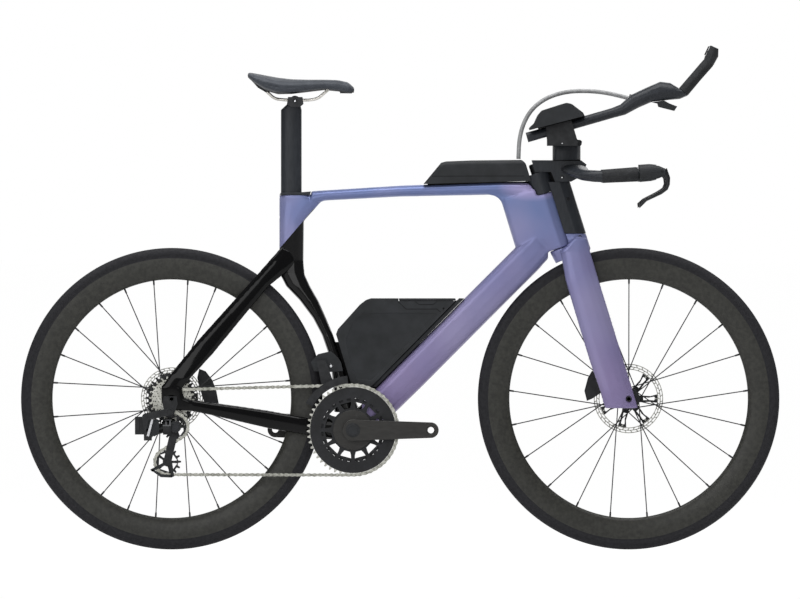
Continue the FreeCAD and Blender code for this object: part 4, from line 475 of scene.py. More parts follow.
CROWN_HEIGHT, TOOTH_FOOT, LARGEST_SPROCKET_Y = spot(0, 229).z, 0.0965, -0.0284
BLACKS = (screen(9, 9, 10), screen(6, 6, 7))
STEELS = (screen(196, 196, 190), screen(160, 160, 152))
DARK_METALS = (screen(34, 35, 38), screen(26, 27, 29))
frame_paint = two_tone("frame_paint", violet_places, 0.5, BLACKS, violet_shift, (0.08, 0.36), (0.0, 0.3),
                       coat=0.04, shine=0.2)
fork_paint = two_tone("fork_paint", height_of, CROWN_HEIGHT, violet_shift, DARK_METALS, (0.36, 0.45),
                      (0.3, 0.6), coat=0.04, shine=0.3)
ring_finish = two_tone("ring_finish", from_crank, TOOTH_FOOT, DARK_METALS, STEELS, (0.45, 0.3), (0.5, 1.0))
cassette_finish = two_tone("cassette_finish", sideways, LARGEST_SPROCKET_Y, STEELS, DARK_METALS,
                           (0.3, 0.4), (1.0, 0.5))
print("finishes", len(bpy.data.materials))

# %% [markdown]
# ## Smooth copies of the solids
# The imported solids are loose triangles. A copy of each is merged into one skin,
# shaded smooth across gentle angles and given a hair of a bevel, so that edges
# catch the light as moulded and machined ones do. The copy stands for the solid.

# %% Skin helper
MERGE, EDGE, SHARP, FLAT = 0.00002, 0.0006, math.radians(35.0), math.radians(1.0)


def new_object(name, mesh, material=None):
    made = bpy.data.objects.new(name, mesh)
    SCENE.collection.objects.link(made)
    if material:
        mesh.materials.clear()
        mesh.materials.append(material)
    return made


BODY_OF = {node: body for body, nodes in frame["record"]["behaviour"]["bodies"].items() for node in nodes}


def settle(piece, node, stands_for=True):
    """The piece rides where the node rides; where it stands for the node, the node is hidden."""
    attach(piece, BODY_OF[node])
    if stands_for:
        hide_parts(node)


def skin(node, material, bevel=EDGE):
    """A smooth copy of a solid, with its edges bevelled by a hair."""
    mesh = frame["nodes"][node].data.copy()
    shape = bmesh.new()
    shape.from_mesh(mesh)
    bmesh.ops.remove_doubles(shape, verts=shape.verts, dist=MERGE)
    bmesh.ops.dissolve_limit(shape, angle_limit=FLAT, verts=shape.verts, edges=shape.edges)
    shape.to_mesh(mesh)
    shape.free()
    mesh.name = f"{node}_skin"
    piece = new_object(f"{node}_skin", mesh, material)
    mesh.shade_smooth()
    mesh.set_sharp_from_angle(angle=SHARP)
    if bevel:
        modifier = piece.modifiers.new("edge", "BEVEL")
        modifier.width, modifier.segments = bevel, 2
        modifier.limit_method, modifier.angle_limit = "ANGLE", SHARP
    settle(piece, node)
    return piece


def moulded(node, material, voxel, relax, swell, under=None):
    """The solid remeshed evenly and relaxed, so that its surfaces run into each other.

    under names a solid below this one, with its widening and lift, that the piece is drawn down over.
    """
    source = frame["nodes"][node].data.copy()
    shape = bmesh.new()
    shape.from_mesh(source)
    if under:
        below, widen, lift = under
        first = len(shape.verts)
        shape.from_mesh(frame["nodes"][below].data)
        shape.verts.ensure_lookup_table()
        for corner in shape.verts[first:]:
            corner.co = (corner.co.x, corner.co.y * widen, corner.co.z + lift)
    bmesh.ops.remove_doubles(shape, verts=shape.verts, dist=MERGE)
    shape.to_mesh(source)
    shape.free()
    piece = new_object(f"{node}_moulded", source, material)
    remesh = piece.modifiers.new("even", "REMESH")
    remesh.mode, remesh.voxel_size = "VOXEL", voxel
    if not under:
        lay = piece.modifiers.new("lie on the solid", "SHRINKWRAP")
        lay.target, lay.wrap_method = frame["nodes"][node], "NEAREST_SURFACEPOINT"
    smooth = piece.modifiers.new("relax", "SMOOTH")
    smooth.factor, smooth.iterations = 0.5, relax
    grow = piece.modifiers.new("make up for the relaxing", "DISPLACE")
    grow.strength, grow.mid_level = swell, 0.0
    made = as_mesh(piece)
    piece.modifiers.clear()
    piece.data = made
    made.materials.clear()
    made.materials.append(material)
    made.shade_smooth()
    settle(piece, node)
    return piece


CARBON_VOXEL, CARBON_RELAX = 0.0024, 10
MOULDED = {"frame": (frame_paint, 0.0004), "fork": (fork_paint, 0.0), "rear_stays": (gloss_black, 0.0005)}
for node, (material, swell) in MOULDED.items():
    print(node, len(moulded(node, material, CARBON_VOXEL, CARBON_RELAX, swell).data.polygons))
SKINS = [
    (satin_carbon, "front_steerer headset_cover seat_collar seatpost base_bar risers extensions"),
    (grip_rubber, "grips"),
    (moulded_black, "lever_bodies shifter_pods shift_button_right shift_button_left arm_cups saddle_shell "
                    "top_box storage_box storage_lid box_cradle front_mech_body computer_mount"),
    (black_anodised, "brake_lever_right brake_lever_left extension_clamp saddle_clamp front_caliper "
                     "rear_caliper derailleur_hanger rear_mech_upper_knuckle rear_mech_outer_link "
                     "rear_mech_inner_link rear_mech_lower_knuckle rear_mech_cage guide_pulley "
                     "tension_pulley front_mech_cage front_hub rear_hub front_axle rear_axle"),
    (rail_steel, "saddle_rails"), (silver_alloy, "frame_bearings"), (crank_carbon, "crank_right crank_left"),
    (cassette_finish, "cassette"), (ring_finish, "chainrings"), (spoke_black, "front_spokes rear_spokes"),
]
# Teeth, plates and spokes are too fine for a bevel.
FINE = {"cassette", "chainrings", "guide_pulley", "tension_pulley", "front_spokes", "rear_spokes",
        "rear_mech_cage", "front_mech_cage"}
skinned = [skin(node, material, 0.0 if node in FINE else EDGE)
           for material, nodes in SKINS for node in nodes.split()]
print("skins", len(skinned))

# %% [markdown]
# ## Tyres and rims on a lathe
# A wheel shows every corner of a polygon, so tyre and rim are turned again from
# their profiles with many more steps than a solid needs.

# %% Turned wheels
LATHE_SHARP = math.radians(40)


def closed_mesh(name, points, faces):
    """A mesh of points and faces, with every face turned outward."""
    mesh = bpy.data.meshes.new(name)
    mesh.from_pydata(points, [], faces)
    shape = bmesh.new()
    shape.from_mesh(mesh)
    bmesh.ops.recalc_face_normals(shape, faces=shape.faces)
    shape.to_mesh(mesh)
    shape.free()
    return mesh


def wall(first, second, count):
    """The faces between two rings of points, each ring given by the number of its first point."""
    return [(first + k, second + k, second + (k + 1) % count, first + (k + 1) % count) for k in range(count)]


def lathe(name, profile, axle, steps, material):
    """A closed profile of (y, radius) pairs turned about the wheel's axis."""
    count = len(profile)
    points, faces = [], []
    for step in range(steps):
        turn = 2 * math.pi * step / steps
        points += [(axle.x + math.cos(turn) * r, y, axle.z + math.sin(turn) * r) for y, r in profile]
        faces += wall(step * count, (step + 1) % steps * count, count)
    piece = new_object(name, closed_mesh(name, points, faces), material)
    piece.data.shade_smooth()
    piece.data.set_sharp_from_angle(angle=LATHE_SHARP)
    return piece


WHEELS = (("front", FRONT_AXLE), ("rear", REAR_AXLE))
WHEEL_STEPS = 240
TYRE_HALF, TYRE_FOOT, BEAD_HALF, RIM_FOOT = 0.014, 0.316, 0.0136, 0.268
crown = TYRE_RADIUS - TYRE_HALF
tyre_profile = [(TYRE_HALF * math.cos(math.radians(a)), crown + TYRE_HALF * math.sin(math.radians(a)))
                for a in range(-20, 201, 10)]
tyre_profile += [(-BEAD_HALF, TYRE_FOOT), (BEAD_HALF, TYRE_FOOT)]
rim_profile = [(0.0135, TYRE_FOOT), (0.0136, 0.308), (0.0131, 0.298), (0.0118, 0.287), (0.0094, 0.277),
               (0.0065, 0.2705), (0.0030, RIM_FOOT)]
rim_profile += [(-y, r) for y, r in reversed(rim_profile)]
for side, axle in WHEELS:
    settle(lathe(f"{side}_tyre_turned", tyre_profile, axle, WHEEL_STEPS, tyre_rubber), f"{side}_tyre")
    settle(lathe(f"{side}_rim_turned", rim_profile, axle, WHEEL_STEPS, rim_carbon), f"{side}_rim")
print("tyre profile", len(tyre_profile), "rim profile", len(rim_profile))

# %% [markdown]
# ## Repeats: one tree for everything that comes in numbers
# Bolts, rivets, nipples, drilled holes and chain links are each one small shape
# at many places. A Geometry Nodes tree puts the shape on every point, turned by
# the point's own angles, makes the copies real and paints them.


# %% Scatter tree
def scatter_tree():
    tree = bpy.data.node_groups.new("copies_on_points", "GeometryNodeTree")
    for label, kind in (("Points", "NodeSocketGeometry"), ("Shape", "NodeSocketObject"),
                        ("Finish", "NodeSocketMaterial")):
        tree.interface.new_socket(label, in_out="INPUT", socket_type=kind)
    tree.interface.new_socket("Copies", in_out="OUTPUT", socket_type="NodeSocketGeometry")
    start, end = tree.nodes.new("NodeGroupInput"), tree.nodes.new("NodeGroupOutput")
    info = tree.nodes.new("GeometryNodeObjectInfo")
    info.inputs["As Instance"].default_value = True
    turn = tree.nodes.new("GeometryNodeInputNamedAttribute")
    turn.data_type = "FLOAT_VECTOR"
    turn.inputs["Name"].default_value = "turn"
    rotation = tree.nodes.new("FunctionNodeEulerToRotation")
    copies = tree.nodes.new("GeometryNodeInstanceOnPoints")
    real = tree.nodes.new("GeometryNodeRealizeInstances")
    paint = tree.nodes.new("GeometryNodeSetMaterial")
    link(tree, start.outputs["Points"], copies.inputs["Points"])
    link(tree, start.outputs["Shape"], info.inputs["Object"])
    link(tree, info.outputs["Geometry"], copies.inputs["Instance"])
    link(tree, turn.outputs["Attribute"], rotation.inputs[0])
    link(tree, rotation.outputs[0], copies.inputs["Rotation"])
    link(tree, copies.outputs[0], real.inputs[0])
    link(tree, real.outputs[0], paint.inputs["Geometry"])
    link(tree, start.outputs["Finish"], paint.inputs["Material"])
    link(tree, paint.outputs[0], end.inputs[0])
    return tree


SCATTER = scatter_tree()
INPUTS = {item.name: item.identifier for item in SCATTER.interface.items_tree if item.in_out == "INPUT"}


def scatter(name, shape_mesh, places, material):
    """One plain mesh of copies; places are (point, turn) with the turn as a matrix."""
    points = bpy.data.meshes.new(f"{name}_points")
    points.from_pydata([tuple(point) for point, _ in places], [], [])
    turns = points.attributes.new("turn", "FLOAT_VECTOR", "POINT")
    for number, (_, matrix) in enumerate(places):
        turns.data[number].vector = matrix.to_euler()
    holder = new_object(f"{name}_points", points)
    shape = new_object(f"{name}_shape", shape_mesh)
    modifier = holder.modifiers.new("copies", "NODES")
    modifier.node_group = SCATTER
    modifier[INPUTS["Shape"]] = shape
    modifier[INPUTS["Finish"]] = material
    made = as_mesh(holder)
    bpy.data.objects.remove(holder)
    bpy.data.objects.remove(shape)
    made.name = name
    piece = new_object(name, made, material)
    made.shade_smooth()
    made.set_sharp_from_angle(angle=SHARP)
    return piece


def facing(direction):
    """A turn that points +Z of a shape along a direction."""
    return Vector(direction).to_track_quat("Z", "Y").to_matrix()


def disc(name, radius, depth, sides, socket=0.0):
    """A round head from z 0 to depth, with a chamfered rim and an optional socket."""
    rows = [(radius, 0.0), (radius, depth * 0.7), (radius * 0.88, depth)]
    turns = [2 * math.pi * k / sides for k in range(sides)]
    mesh = bpy.data.meshes.new(name)
    shape = bmesh.new()
    foot, rim, head = ([shape.verts.new((r * math.cos(turn), r * math.sin(turn), z)) for turn in turns]
                       for r, z in rows)
    for lower, upper in ((foot, rim), (rim, head)):
        for k in range(sides):
            n = (k + 1) % sides
            shape.faces.new((lower[k], lower[n], upper[n], upper[k]))
    shape.faces.new(foot[::-1])
    top = shape.faces.new(head)
    if socket:
        bmesh.ops.inset_individual(shape, faces=[top], thickness=rows[-1][0] - socket)
        bmesh.ops.translate(shape, verts=top.verts, vec=(0, 0, -depth * 0.6))
    shape.to_mesh(mesh)
    shape.free()
    return mesh


def pin_shape(name, radius, half):
    mesh = disc(name, radius, 2 * half, 12)
    mesh.transform(Matrix.Translation((0, 0, -half)))
    return mesh


print("scatter inputs", list(INPUTS))

# %% [markdown]
# ## Brake discs
# A brake disc's track is three thin hoops with slanting bridges between them, and a
# dark carrier with seven open lugs holds it to the hub. The hoops are turned on the
# lathe; bridges, lugs and rivets are copies. They fill the same ring as the solid.


# %% Brake discs
def holed_plate(name, outer, inner, thickness):
    """A flat plate with an opening; both outlines have the same number of corners, as (x, y)."""
    count, half = len(outer), thickness / 2
    points = [(x, y, z) for z in (-half, half) for line in (outer, inner) for x, y in line]
    faces = []
    for first, second in ((0, 1), (3, 2), (2, 0), (1, 3)):
        faces += wall(first * count, second * count, count)
    return closed_mesh(name, points, faces)


Y_AXIS = Vector((0, 1, 0))
LUG_OUTER = [(-0.0085, 0.0), (-0.0075, 0.62), (-0.0098, 0.95), (-0.0045, 1.0), (0.0085, 1.0),
             (0.0095, 0.93), (0.0055, 0.6), (0.0075, 0.0)]
LUG_INNER = [(-0.0035, 0.25), (-0.0032, 0.55), (-0.0042, 0.78), (-0.002, 0.82), (0.0035, 0.82),
             (0.004, 0.76), (0.0018, 0.52), (0.0032, 0.25)]
LUGS, HOOP, TRACK, HOOP_STEPS = 7, 0.0021, 0.013, 120
BRIDGES, BRIDGE_HALF, BRIDGE_LEANS = 36, 0.0011, (0.7, -0.7)
HUB_RADIUS, CARRIER_BORE, CARRIER_RADIUS, CARRIER_STEPS = 0.022, 0.017, 0.024, 64
RIVET_RADIUS, RIVET_INSET, RIVET_PROUD = 0.0018, 0.0035, 0.0003


def brake_disc(node, axle):
    corners = [vert.co for vert in frame["nodes"][node].data.vertices]
    low, high = min(c.y for c in corners), max(c.y for c in corners)
    radius = max(math.hypot(c.x - axle.x, c.z - axle.z) for c in corners)
    y, thickness = (low + high) / 2, high - low
    foot, centre = radius - TRACK, radius - TRACK / 2 - HOOP / 2
    for number, inner in enumerate((radius - HOOP, centre, foot)):
        profile = [(low, inner), (high, inner), (high, inner + HOOP), (low, inner + HOOP)]
        hoop = lathe(f"{node}_hoop_{number}", profile, axle, HOOP_STEPS, bright_steel)
        settle(hoop, node, stands_for=number == 0)

    def copies(label, shape, material, count, reach, lean=0.0, start=0.0):
        places = []
        for number in range(count):
            turn = 2 * math.pi * (number + start) / count
            out = Vector((math.cos(turn), 0, math.sin(turn)))
            up = (out + Y_AXIS.cross(out) * lean).normalized()
            side = up.cross(Y_AXIS)
            turned = Matrix((side, up, side.cross(up))).transposed()
            places.append((axle + out * reach + Y_AXIS * y, turned))
        settle(scatter(f"{node}_{label}", shape, places, material), node, stands_for=False)

    span = centre - foot
    bar = [(x * BRIDGE_HALF, z * span / 2) for x, z in ((-1, -1), (1, -1), (1, 1), (-1, 1))]
    slot = [(x * 0.1, z * 0.1) for x, z in bar]
    for number, (inner, lean) in enumerate(zip((foot, centre), BRIDGE_LEANS)):
        copies(f"bridges_{number}", holed_plate("bridge", bar, slot, thickness), bright_steel,
               BRIDGES, inner + (span + HOOP) / 2, lean, number / 2)
    length = foot - HUB_RADIUS + HOOP
    outer, inner = ([(x, HUB_RADIUS + share * length) for x, share in line]
                    for line in (LUG_OUTER, LUG_INNER))
    copies("lugs", holed_plate("lug", outer, inner, thickness * 0.9), black_anodised, LUGS, 0.0)
    rivet = pin_shape("disc_rivet", RIVET_RADIUS, thickness / 2 + RIVET_PROUD)
    copies("rivets", rivet, bright_steel, LUGS, foot - RIVET_INSET)
    ring = [(low, CARRIER_BORE), (high, CARRIER_BORE), (high, CARRIER_RADIUS), (low, CARRIER_RADIUS)]
    settle(lathe(f"{node}_carrier", ring, axle, CARRIER_STEPS, black_anodised), node, stands_for=False)


for side, axle in WHEELS:
    brake_disc(f"{side}_rotor", axle)
print("brake discs", LUGS, "lugs", 2 * BRIDGES, "bridges each")

# %% [markdown]
# ## The chain, link by link
# The solid chain marks every roller. Its rollers' middles give the pins; a link
# plate with a waist is then laid between each pair of pins, inner and outer plates
# in turn, and a rivet closes every pin.


# %% Chain
def islands(node):
    """The separate solids of a node, each as a list of its corners."""
    shape = bmesh.new()
    shape.from_mesh(frame["nodes"][node].data)
    bmesh.ops.remove_doubles(shape, verts=shape.verts, dist=0.00001)
    found, seen = [], set()
    for vert in shape.verts:
        if vert in seen:
            continue
        island, todo = [], [vert]
        seen.add(vert)
        while todo:
            here = todo.pop()
            island.append(here.co.copy())
            for edge in here.link_edges:
                other = edge.other_vert(here)
                if other not in seen:
                    seen.add(other)
                    todo.append(other)
        found.append(island)
    shape.free()
    return found


def middle(points):
    return sum(points, Vector()) / len(points)


ROLLER_REACH = 0.009
pins = [middle(island) for island in islands("chain")
        if max((corner - island[0]).length for corner in island) < ROLLER_REACH]
ordered, left = [pins[0]], pins[1:]
while left:
    nearest = min(left, key=lambda p: (p - ordered[-1]).length)
    ordered.append(nearest)
    left.remove(nearest)
PITCH, PLATE, PLATE_HEIGHT, WAIST = 0.0127, 0.00065, 0.0078, 0.33


def prism(first, count):
    """The faces of a plate whose two equal outlines follow each other in the list of points."""
    second = first + count
    return [range(first, second), range(second, second + count), *wall(first, second, count)]


def link_plate(name, inner):
    """A pair of waisted plates, from pin to pin along X, with Z across the chain."""
    outline = []
    for centre, base, side in ((0.0, 90, -1), (PITCH, -90, 1)):
        for step in range(7):
            angle = math.radians(base + step * 30)
            x, y = math.cos(angle) * PLATE_HEIGHT / 2, math.sin(angle) * PLATE_HEIGHT / 2
            outline.append((centre + x, y))
        outline.append((PITCH / 2, side * PLATE_HEIGHT * WAIST))
    points, faces = [], []
    for side in (1, -1):
        faces += prism(len(points), len(outline))
        points += [(x, y, side * z) for z in (inner, inner + PLATE) for x, y in outline]
    return closed_mesh(name, points, faces)


inner_places, outer_places, pin_places = [], [], []
for number, pin in enumerate(ordered):
    ahead = ordered[(number + 1) % len(ordered)]
    along = (ahead - pin).normalized()
    across = along * along.dot(Y_AXIS) - Y_AXIS
    across.normalize()
    turn = Matrix((along, across.cross(along), across)).transposed()
    (inner_places if number % 2 else outer_places).append((pin, turn))
    pin_places.append((pin, turn))
inner_links = scatter("chain_inner_links", link_plate("inner_plate", 0.0011), inner_places, chain_steel)
outer_links = scatter("chain_outer_links", link_plate("outer_plate", 0.00185), outer_places, chain_steel)
rivets = scatter("chain_rivets", pin_shape("rivet", 0.0017, 0.0027), pin_places, bright_steel)
rollers = scatter("chain_rollers", pin_shape("roller", 0.0038, 0.0011), pin_places, bright_steel)
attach(inner_links, "frame")
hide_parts("chain")
for piece in (outer_links, rivets, rollers):
    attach(piece, "frame")
longest = max((a - b).length for a, b in zip(ordered, ordered[1:]))
print("pins", len(ordered), "longest step", round(longest * 1000, 2))

# %% [markdown]
# ## Foam: the saddle and the arm pads
# A saddle cover is foam under a tight skin: crowned across, drawn in at the rim.
# The solid already has that form, so a copy is remeshed finely and relaxed, and the
# saddle's is drawn down over its shell. The arm pads are treated the same way.

# %% Foam pieces
FOAM_SWELL = 0.0009


def foam(node, material, voxel, relax, under=None):
    piece = moulded(node, material, voxel, relax, FOAM_SWELL, under)
    return piece


saddle_foam = foam("saddle_cover", saddle_skin, 0.0025, 9, under=("saddle_shell", 1.1, 0.0015))
arm_foam = foam("arm_pads", pad_foam, 0.002, 4)
print("foam", len(saddle_foam.data.vertices), len(arm_foam.data.vertices))

# %% [markdown]
# ## Finding the surface
# Bolts and seams lie on the solids. A ray shot sideways at a pixel of the side view
# gives the point where it meets a piece, and the way that the surface faces there.

# %% Touch, bolt and seam helpers
SURFACES = {}
RAY_START, SEAM_LIFT = 0.7, 0.0003
RIGHT, LEFT, BOTH = (-1,), (1,), (-1, 1)


def touch_at(node, place, side):
    """Where a sideways ray through a place first meets a solid, and the outward normal there."""
    if node not in SURFACES:
        mesh = frame["nodes"][node].data
        SURFACES[node] = BVHTree.FromPolygons([v.co for v in mesh.vertices],
                                              [tuple(p.vertices) for p in mesh.polygons])
    start = Vector((place.x, side * RAY_START, place.z))
    return SURFACES[node].ray_cast(start, Vector((0, -side, 0)))[:2]


def touch(node, px, py, side):
    """The same at a pixel of the side view."""
    return touch_at(node, spot(px, py), side)


def bolts(name, node, pixels, radius, depth, material, socket=0.0, sides=BOTH):
    """Round heads on a solid's flank at pixels of the side view."""
    places = []
    for px, py in pixels:
        for side in sides:
            point, normal = touch(node, px, py, side)
            places.append((point, facing(normal)))
    piece = scatter(name, disc(f"{name}_head", radius, depth, 20, socket), places, material)
    settle(piece, node, stands_for=False)


def seam(name, node, pixels, width, sides=BOTH):
    """A hair-thin dark strip along pixels of the side view, a little proud of a flat flank."""
    points, faces = [], []
    line = [spot(px, py) for px, py in pixels]
    for side in sides:
        level = touch(node, *pixels[len(pixels) // 2], side)[0].y
        first, last = len(points), len(points) + 4 * (len(line) - 1)
        for number, here in enumerate(line):
            before, after = line[max(number - 1, 0)], line[min(number + 1, len(line) - 1)]
            ahead = (after - before).normalized()
            out = Vector((-ahead.z, 0, ahead.x)) * width / 2
            for offset in (out, -out):
                for lift in (-SEAM_LIFT, SEAM_LIFT):
                    points.append((here.x + offset.x, level + side * lift, here.z + offset.z))
        for a in range(first, last, 4):
            b = a + 4
            faces += [(a + 1, a + 3, b + 3, b + 1), (a, b, b + 2, a + 2),
                      (a, a + 1, b + 1, b), (a + 2, b + 2, b + 3, a + 3)]
        faces += [(first, first + 2, first + 3, first + 1), (last, last + 1, last + 3, last + 2)]
    settle(new_object(name, closed_mesh(name, points, faces), dark_joint_and_gap_shade), node, stands_for=False)


# %% [markdown]
# ## Fittings
# Steering column, clamp, levers, crank, derailleurs and brakes each show their
# bolts; the small silver discs on the stem, clamp and saddle bolts are painted glints.
# The boxes show the seams of lid and cover.

# %% Bolts
CRANK_CENTRE, STEM_BOLT, SADDLE_BOLT = (CRANK_PX, 429.8), (562, 177.5), (295, 101)
bolts("stem_bolts", "base_bar", [STEM_BOLT], 0.0042, 0.0008, black_anodised)
# A small silver disc in the black stem bolt: a painted glint.
bolts("stem_bolt_keys", "base_bar", [STEM_BOLT], 0.0016, 0.001, silver_alloy)
bolts("column_bolts", "front_steerer", [(568, 199)], 0.0042, 0.0008, black_anodised, 0.002)
bolts("crown_bolts", "fork", [(580, 237)], 0.0042, 0.0008, black_anodised, 0.002)
# The clamp bolt is only a small silver disc the size of its glint: a painted glint.
bolts("clamp_bolts", "extension_clamp", [(562, 143.3)], 0.0014, 0.0006, silver_alloy)
bolts("lever_pivots", "lever_bodies", [(661.5, 171.5)], 0.0032, 0.0008, black_anodised, 0.0014)
bolts("crank_cap_ring", "crank_right", [CRANK_CENTRE], 0.0165, 0.0006, black_anodised, sides=RIGHT)
bolts("crank_cap", "crank_right", [CRANK_CENTRE], 0.0125, 0.0016, moulded_black, 0.005, RIGHT)
bolts("crank_cap_left", "crank_left", [CRANK_CENTRE], 0.0135, 0.0014, moulded_black, 0.005, LEFT)
bolts("hanger_bolt", "rear_mech_upper_knuckle", [(169.8, 411.5)], 0.0055, 0.001, black_anodised, 0.0025,
      RIGHT)
bolts("cage_pivot", "rear_mech_lower_knuckle", [(175.7, 426.5)], 0.009, 0.0012, moulded_black, 0.0025, RIGHT)
bolts("pulley_bolt", "rear_mech_cage", [(167.6, 461.6)], 0.005, 0.0014, black_anodised, 0.002)
bolts("saddle_bolt", "saddle_clamp", [SADDLE_BOLT], 0.0055, 0.0012, black_anodised, 0.0025)
# A small silver disc in the black saddle bolt: a painted glint.
bolts("saddle_bolt_key", "saddle_clamp", [SADDLE_BOLT], 0.002, 0.001, silver_alloy)
for node, pixels in (("front_caliper", [(594, 378), (590, 393)]),
                     ("rear_caliper", [(205, 378), (212, 394)])):
    bolts(f"{node}_bolts", node, pixels, 0.0038, 0.0012, silver_alloy, 0.0018, LEFT)
bolts("front_mech_bolts", "front_mech_body", [(331, 366)], 0.003, 0.001, silver_alloy, 0.0014, RIGHT)

# %% Seams of the boxes
seam("lid_seam", "storage_box", [(398, 301.5), (406, 309), (437, 309), (440.5, 312)], 0.0012)
seam("finger_tab", "storage_box", [(415, 301.5), (419, 304.5), (433, 304.5), (437, 301.5)], 0.001)
# A dark disc on each side of the storage box: painted shade where a hole shows.
bolts("box_lock", "storage_box", [(443.5, 308.5)], 0.0022, 0.0004, dark_joint_and_gap_shade)
seam("top_box_seam", "top_box", [(431, 176.2), (480, 176), (524, 176)], 0.0009)
seam("rear_battery_seam", "rear_mech_upper_knuckle", [(140, 417), (140, 431)], 0.0008, RIGHT)
print("seams done")

# %% [markdown]
# ## Painted shade in holes and bores
# The sprockets are drilled in rings, each hole drawn as a dark disc of painted shade on the face
# that a ray meets first. A dark disc of painted shade stands half way along the open bore of each axle.

# %% Painted shade in the drillings and axle bores
DRILLED_RINGS = [(22.2, 11), (25.6, 13), (29.2, 15), (33.2, 17), (36.8, 21), (40.8, 24), (44.6, 24),
                 (47.2, 32)]
MILLIMETRE, FACING_OUT = 0.001, -0.9
drillings = []
for number, (ring, count) in enumerate(DRILLED_RINGS):
    for k in range(count):
        turn = 2 * math.pi * (k + 0.5 * (number % 2)) / count
        over = REAR_AXLE + Vector((math.cos(turn), 0, math.sin(turn))) * ring * MILLIMETRE
        point, normal = touch_at("cassette", over, -1)
        if point is not None and normal.y < FACING_OUT:
            drillings.append((point, facing(normal)))
# Each drilling is a dark disc: painted shade in the hole.
hole_shade_discs = scatter("cassette_drillings", disc("drilling_shade_disc", 0.0015, 0.0003, 8), drillings, dark_joint_and_gap_shade)
settle(hole_shade_discs, "cassette", stands_for=False)
for side, axle in WHEELS:
    # A dark disc inside each axle's bore: painted shade.
    bore_shade_disc = disc(f"{side}_bore_shade_disc", 0.0039, 0.002, 24)
    bore_shade = scatter(f"{side}_axle_web", bore_shade_disc, [(axle, facing(Y_AXIS))], dark_joint_and_gap_shade)
    settle(bore_shade, f"{side}_axle", stands_for=False)
print("drillings", len(drillings))

# %% [markdown]
# ## Painted shade in the gaps, and thin trim
# Dark strips of painted shade close the joints under the boxes, under the arm rests and about the
# stem, so that no light shows through them. The same flat plates make thin trim: the
# saddle's end lips, the lower bars of the derailleur's cage, the shell of its outer
# link, the battery's latch and its bed, and the riser's knob.

# %% Painted gap shade and trim
MIDDLE, RESTS = (0.0,), (-0.094, 0.094)
SHELL, SHELL_SLOPE, LATCH_BED, LATCH = (-0.0909,), -0.41, (-0.0924,), (-0.0936,)
CAGE_FACE = (touch("rear_mech_cage", 171, 450, -1)[0].y - 0.0004,)


def side_view_plate(name, node, half, pixels, centres=MIDDLE, material=dark_joint_and_gap_shade, slope=0.0):
    """A flat plate of the side view, half to each side of each centre; slope leans it along X."""
    points, faces = [], []
    for centre in centres:
        faces += prism(len(points), len(pixels))
        for y in (centre - half, centre + half):
            points += [spot(px, py, y + slope * (px - pixels[0][0]) * PIXEL) for px, py in pixels]
    settle(new_object(name, closed_mesh(name, points, faces), material), node, stands_for=False)
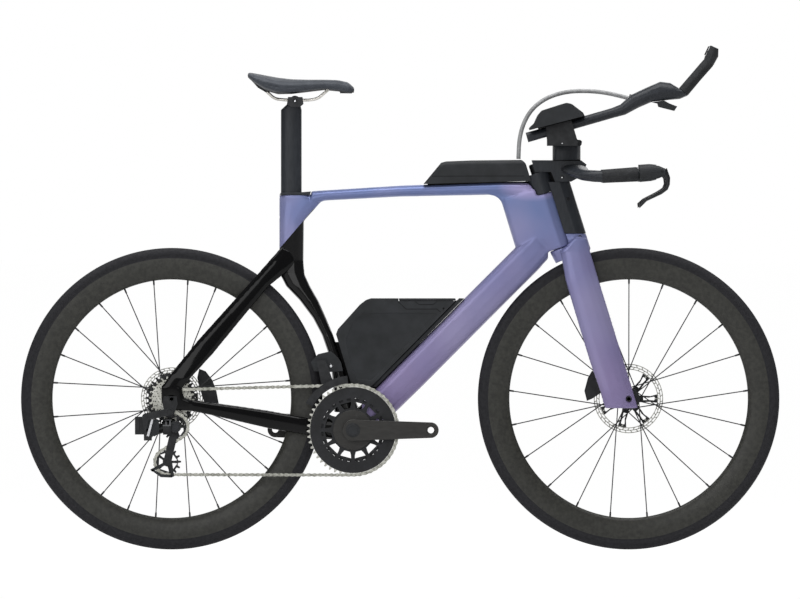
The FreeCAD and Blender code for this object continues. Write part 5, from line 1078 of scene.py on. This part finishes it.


# The first eleven rows are dark strips of painted shade in the gaps between parts; the rest are trim.
SHADE_STRIPS_AND_TRIM = [
    ("box_seal", "storage_box", 0.014,
     [(454.5, 301.2), (460.5, 299), (463.5, 299), (375, 389), (368.5, 387)]),
    ("lid_seal", "storage_box", 0.018, [(399.5, 300.6), (453.5, 300.6), (452, 301.6), (401, 301.6)]),
    ("top_box_seal", "top_box", 0.012,
     [(427.5, 183.4), (480, 182), (526, 181.5), (526, 184.5), (480, 185.2), (427.5, 187)]),
    ("box_rear_seal", "storage_box", 0.008, [(334.5, 342), (338.5, 342), (352, 385), (347.5, 385)]),
    ("rest_shims", "arm_cups", 0.03, [(538, 127.4), (584, 115.2), (584.3, 116.8), (538.4, 129)], RESTS),
    ("riser_top_shim", "risers", 0.026,
     [(553.2, 145.2), (576.4, 145.2), (576.4, 146.6), (553.2, 146.6)]),
    ("riser_foot_shim", "risers", 0.026, [(553.2, 159.6), (580, 159.6), (580, 160.8), (553.2, 160.8)]),
    ("stem_filler", "base_bar", 0.011, [(548.7, 171), (552.4, 171), (556.4, 182.6), (552.2, 182.6)]),
    ("column_filler", "front_steerer", 0.011,
     [(554.4, 180.8), (569.6, 180.8), (569.6, 182.4), (554.4, 182.4)]),
    ("column_foot_filler", "front_steerer", 0.006,
     [(549.8, 189.4), (552.2, 189.4), (552.8, 192.6), (550.4, 192.2)]),
    ("top_box_nose_seal", "top_box", 0.008,
     [(525.4, 181), (527.5, 181.3), (528.1, 183.2), (525.6, 184)]),
    ("saddle_tail_lip", "saddle_shell", 0.03,
     [(252.1, 81.2), (255, 81.4), (260.7, 85), (266.7, 89.3), (266.4, 92.7), (257.9, 87.7)],
     MIDDLE, moulded_black),
    ("saddle_nose_lip", "saddle_shell", 0.007,
     [(340, 90.4), (353.2, 90.4), (351.8, 93.5), (340, 93.3)], MIDDLE, moulded_black),
    ("cage_tail_top", "rear_mech_cage", 0.0008,
     [(167, 460.4), (168.4, 463.4), (152.4, 471.4), (150.4, 469.2)], CAGE_FACE, moulded_black),
    ("cage_tail_foot", "rear_mech_cage", 0.0008,
     [(150.4, 469.2), (152.4, 468.4), (162, 474), (172, 474.4), (172, 477.2), (161, 476.8)],
     CAGE_FACE, moulded_black),
    ("cage_front", "rear_mech_cage", 0.0008,
     [(169.6, 461), (172.4, 461), (174.4, 476), (171.4, 477.2)], CAGE_FACE, moulded_black),
    ("outer_link_shell", "rear_mech_outer_link", 0.0007,
     [(150.5, 420), (155, 418.8), (159.2, 419.2), (159.6, 426), (159.2, 433), (155, 436), (150.5, 434.5)],
     SHELL, moulded_black, SHELL_SLOPE),
    ("battery_latch_bed", "rear_mech_upper_knuckle", 0.0004,
     [(146.6, 416.5), (154.4, 416.5), (152, 427.5), (146.6, 428.5)], LATCH_BED, moulded_black),
    ("battery_latch", "rear_mech_upper_knuckle", 0.0007,
     [(153.4, 413), (155.2, 413.2), (149.4, 436), (147, 435.6)], LATCH, silver_alloy),
    ("riser_knob", "extension_clamp", 0.008,
     [(576.5, 139.6), (580.6, 140), (582, 141.6), (581.6, 144.4), (580.4, 146), (576.5, 146)],
     MIDDLE, moulded_black),
]
for row in SHADE_STRIPS_AND_TRIM:
    side_view_plate(*row)
print("seals, fillers and trim", len(SHADE_STRIPS_AND_TRIM))

# %% [markdown]
# ## Nipples
# Each spoke ends in a nipple that stands out of the rim. The spokes are separate
# solids, so the ends of each one tell where its nipple goes and which way it points.

# %% Spoke nipples
NIPPLE_RADIUS, NIPPLE_LENGTH, NIPPLE_SEAT = 0.0021, 0.011, 0.001
for side, axle in WHEELS:
    places = []
    for blade in islands(f"{side}_spokes"):
        by_radius = sorted(blade, key=lambda corner: math.hypot(corner.x - axle.x, corner.z - axle.z))
        near, far = middle(by_radius[:4]), middle(by_radius[-4:])
        inward = (near - far).normalized()
        places.append((far + inward * NIPPLE_SEAT, facing(inward)))
    nipple = disc(f"{side}_nipple", NIPPLE_RADIUS, NIPPLE_LENGTH, 12)
    nipples = scatter(f"{side}_nipples", nipple, places, black_anodised)
    settle(nipples, f"{side}_spokes", stands_for=False)
print("nipples placed")

# %% Hose finish
hose.data.materials.clear()
hose.data.materials.append(hose_plastic)
hose.data.shade_smooth()
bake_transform(hose)
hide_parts("drink_hose")
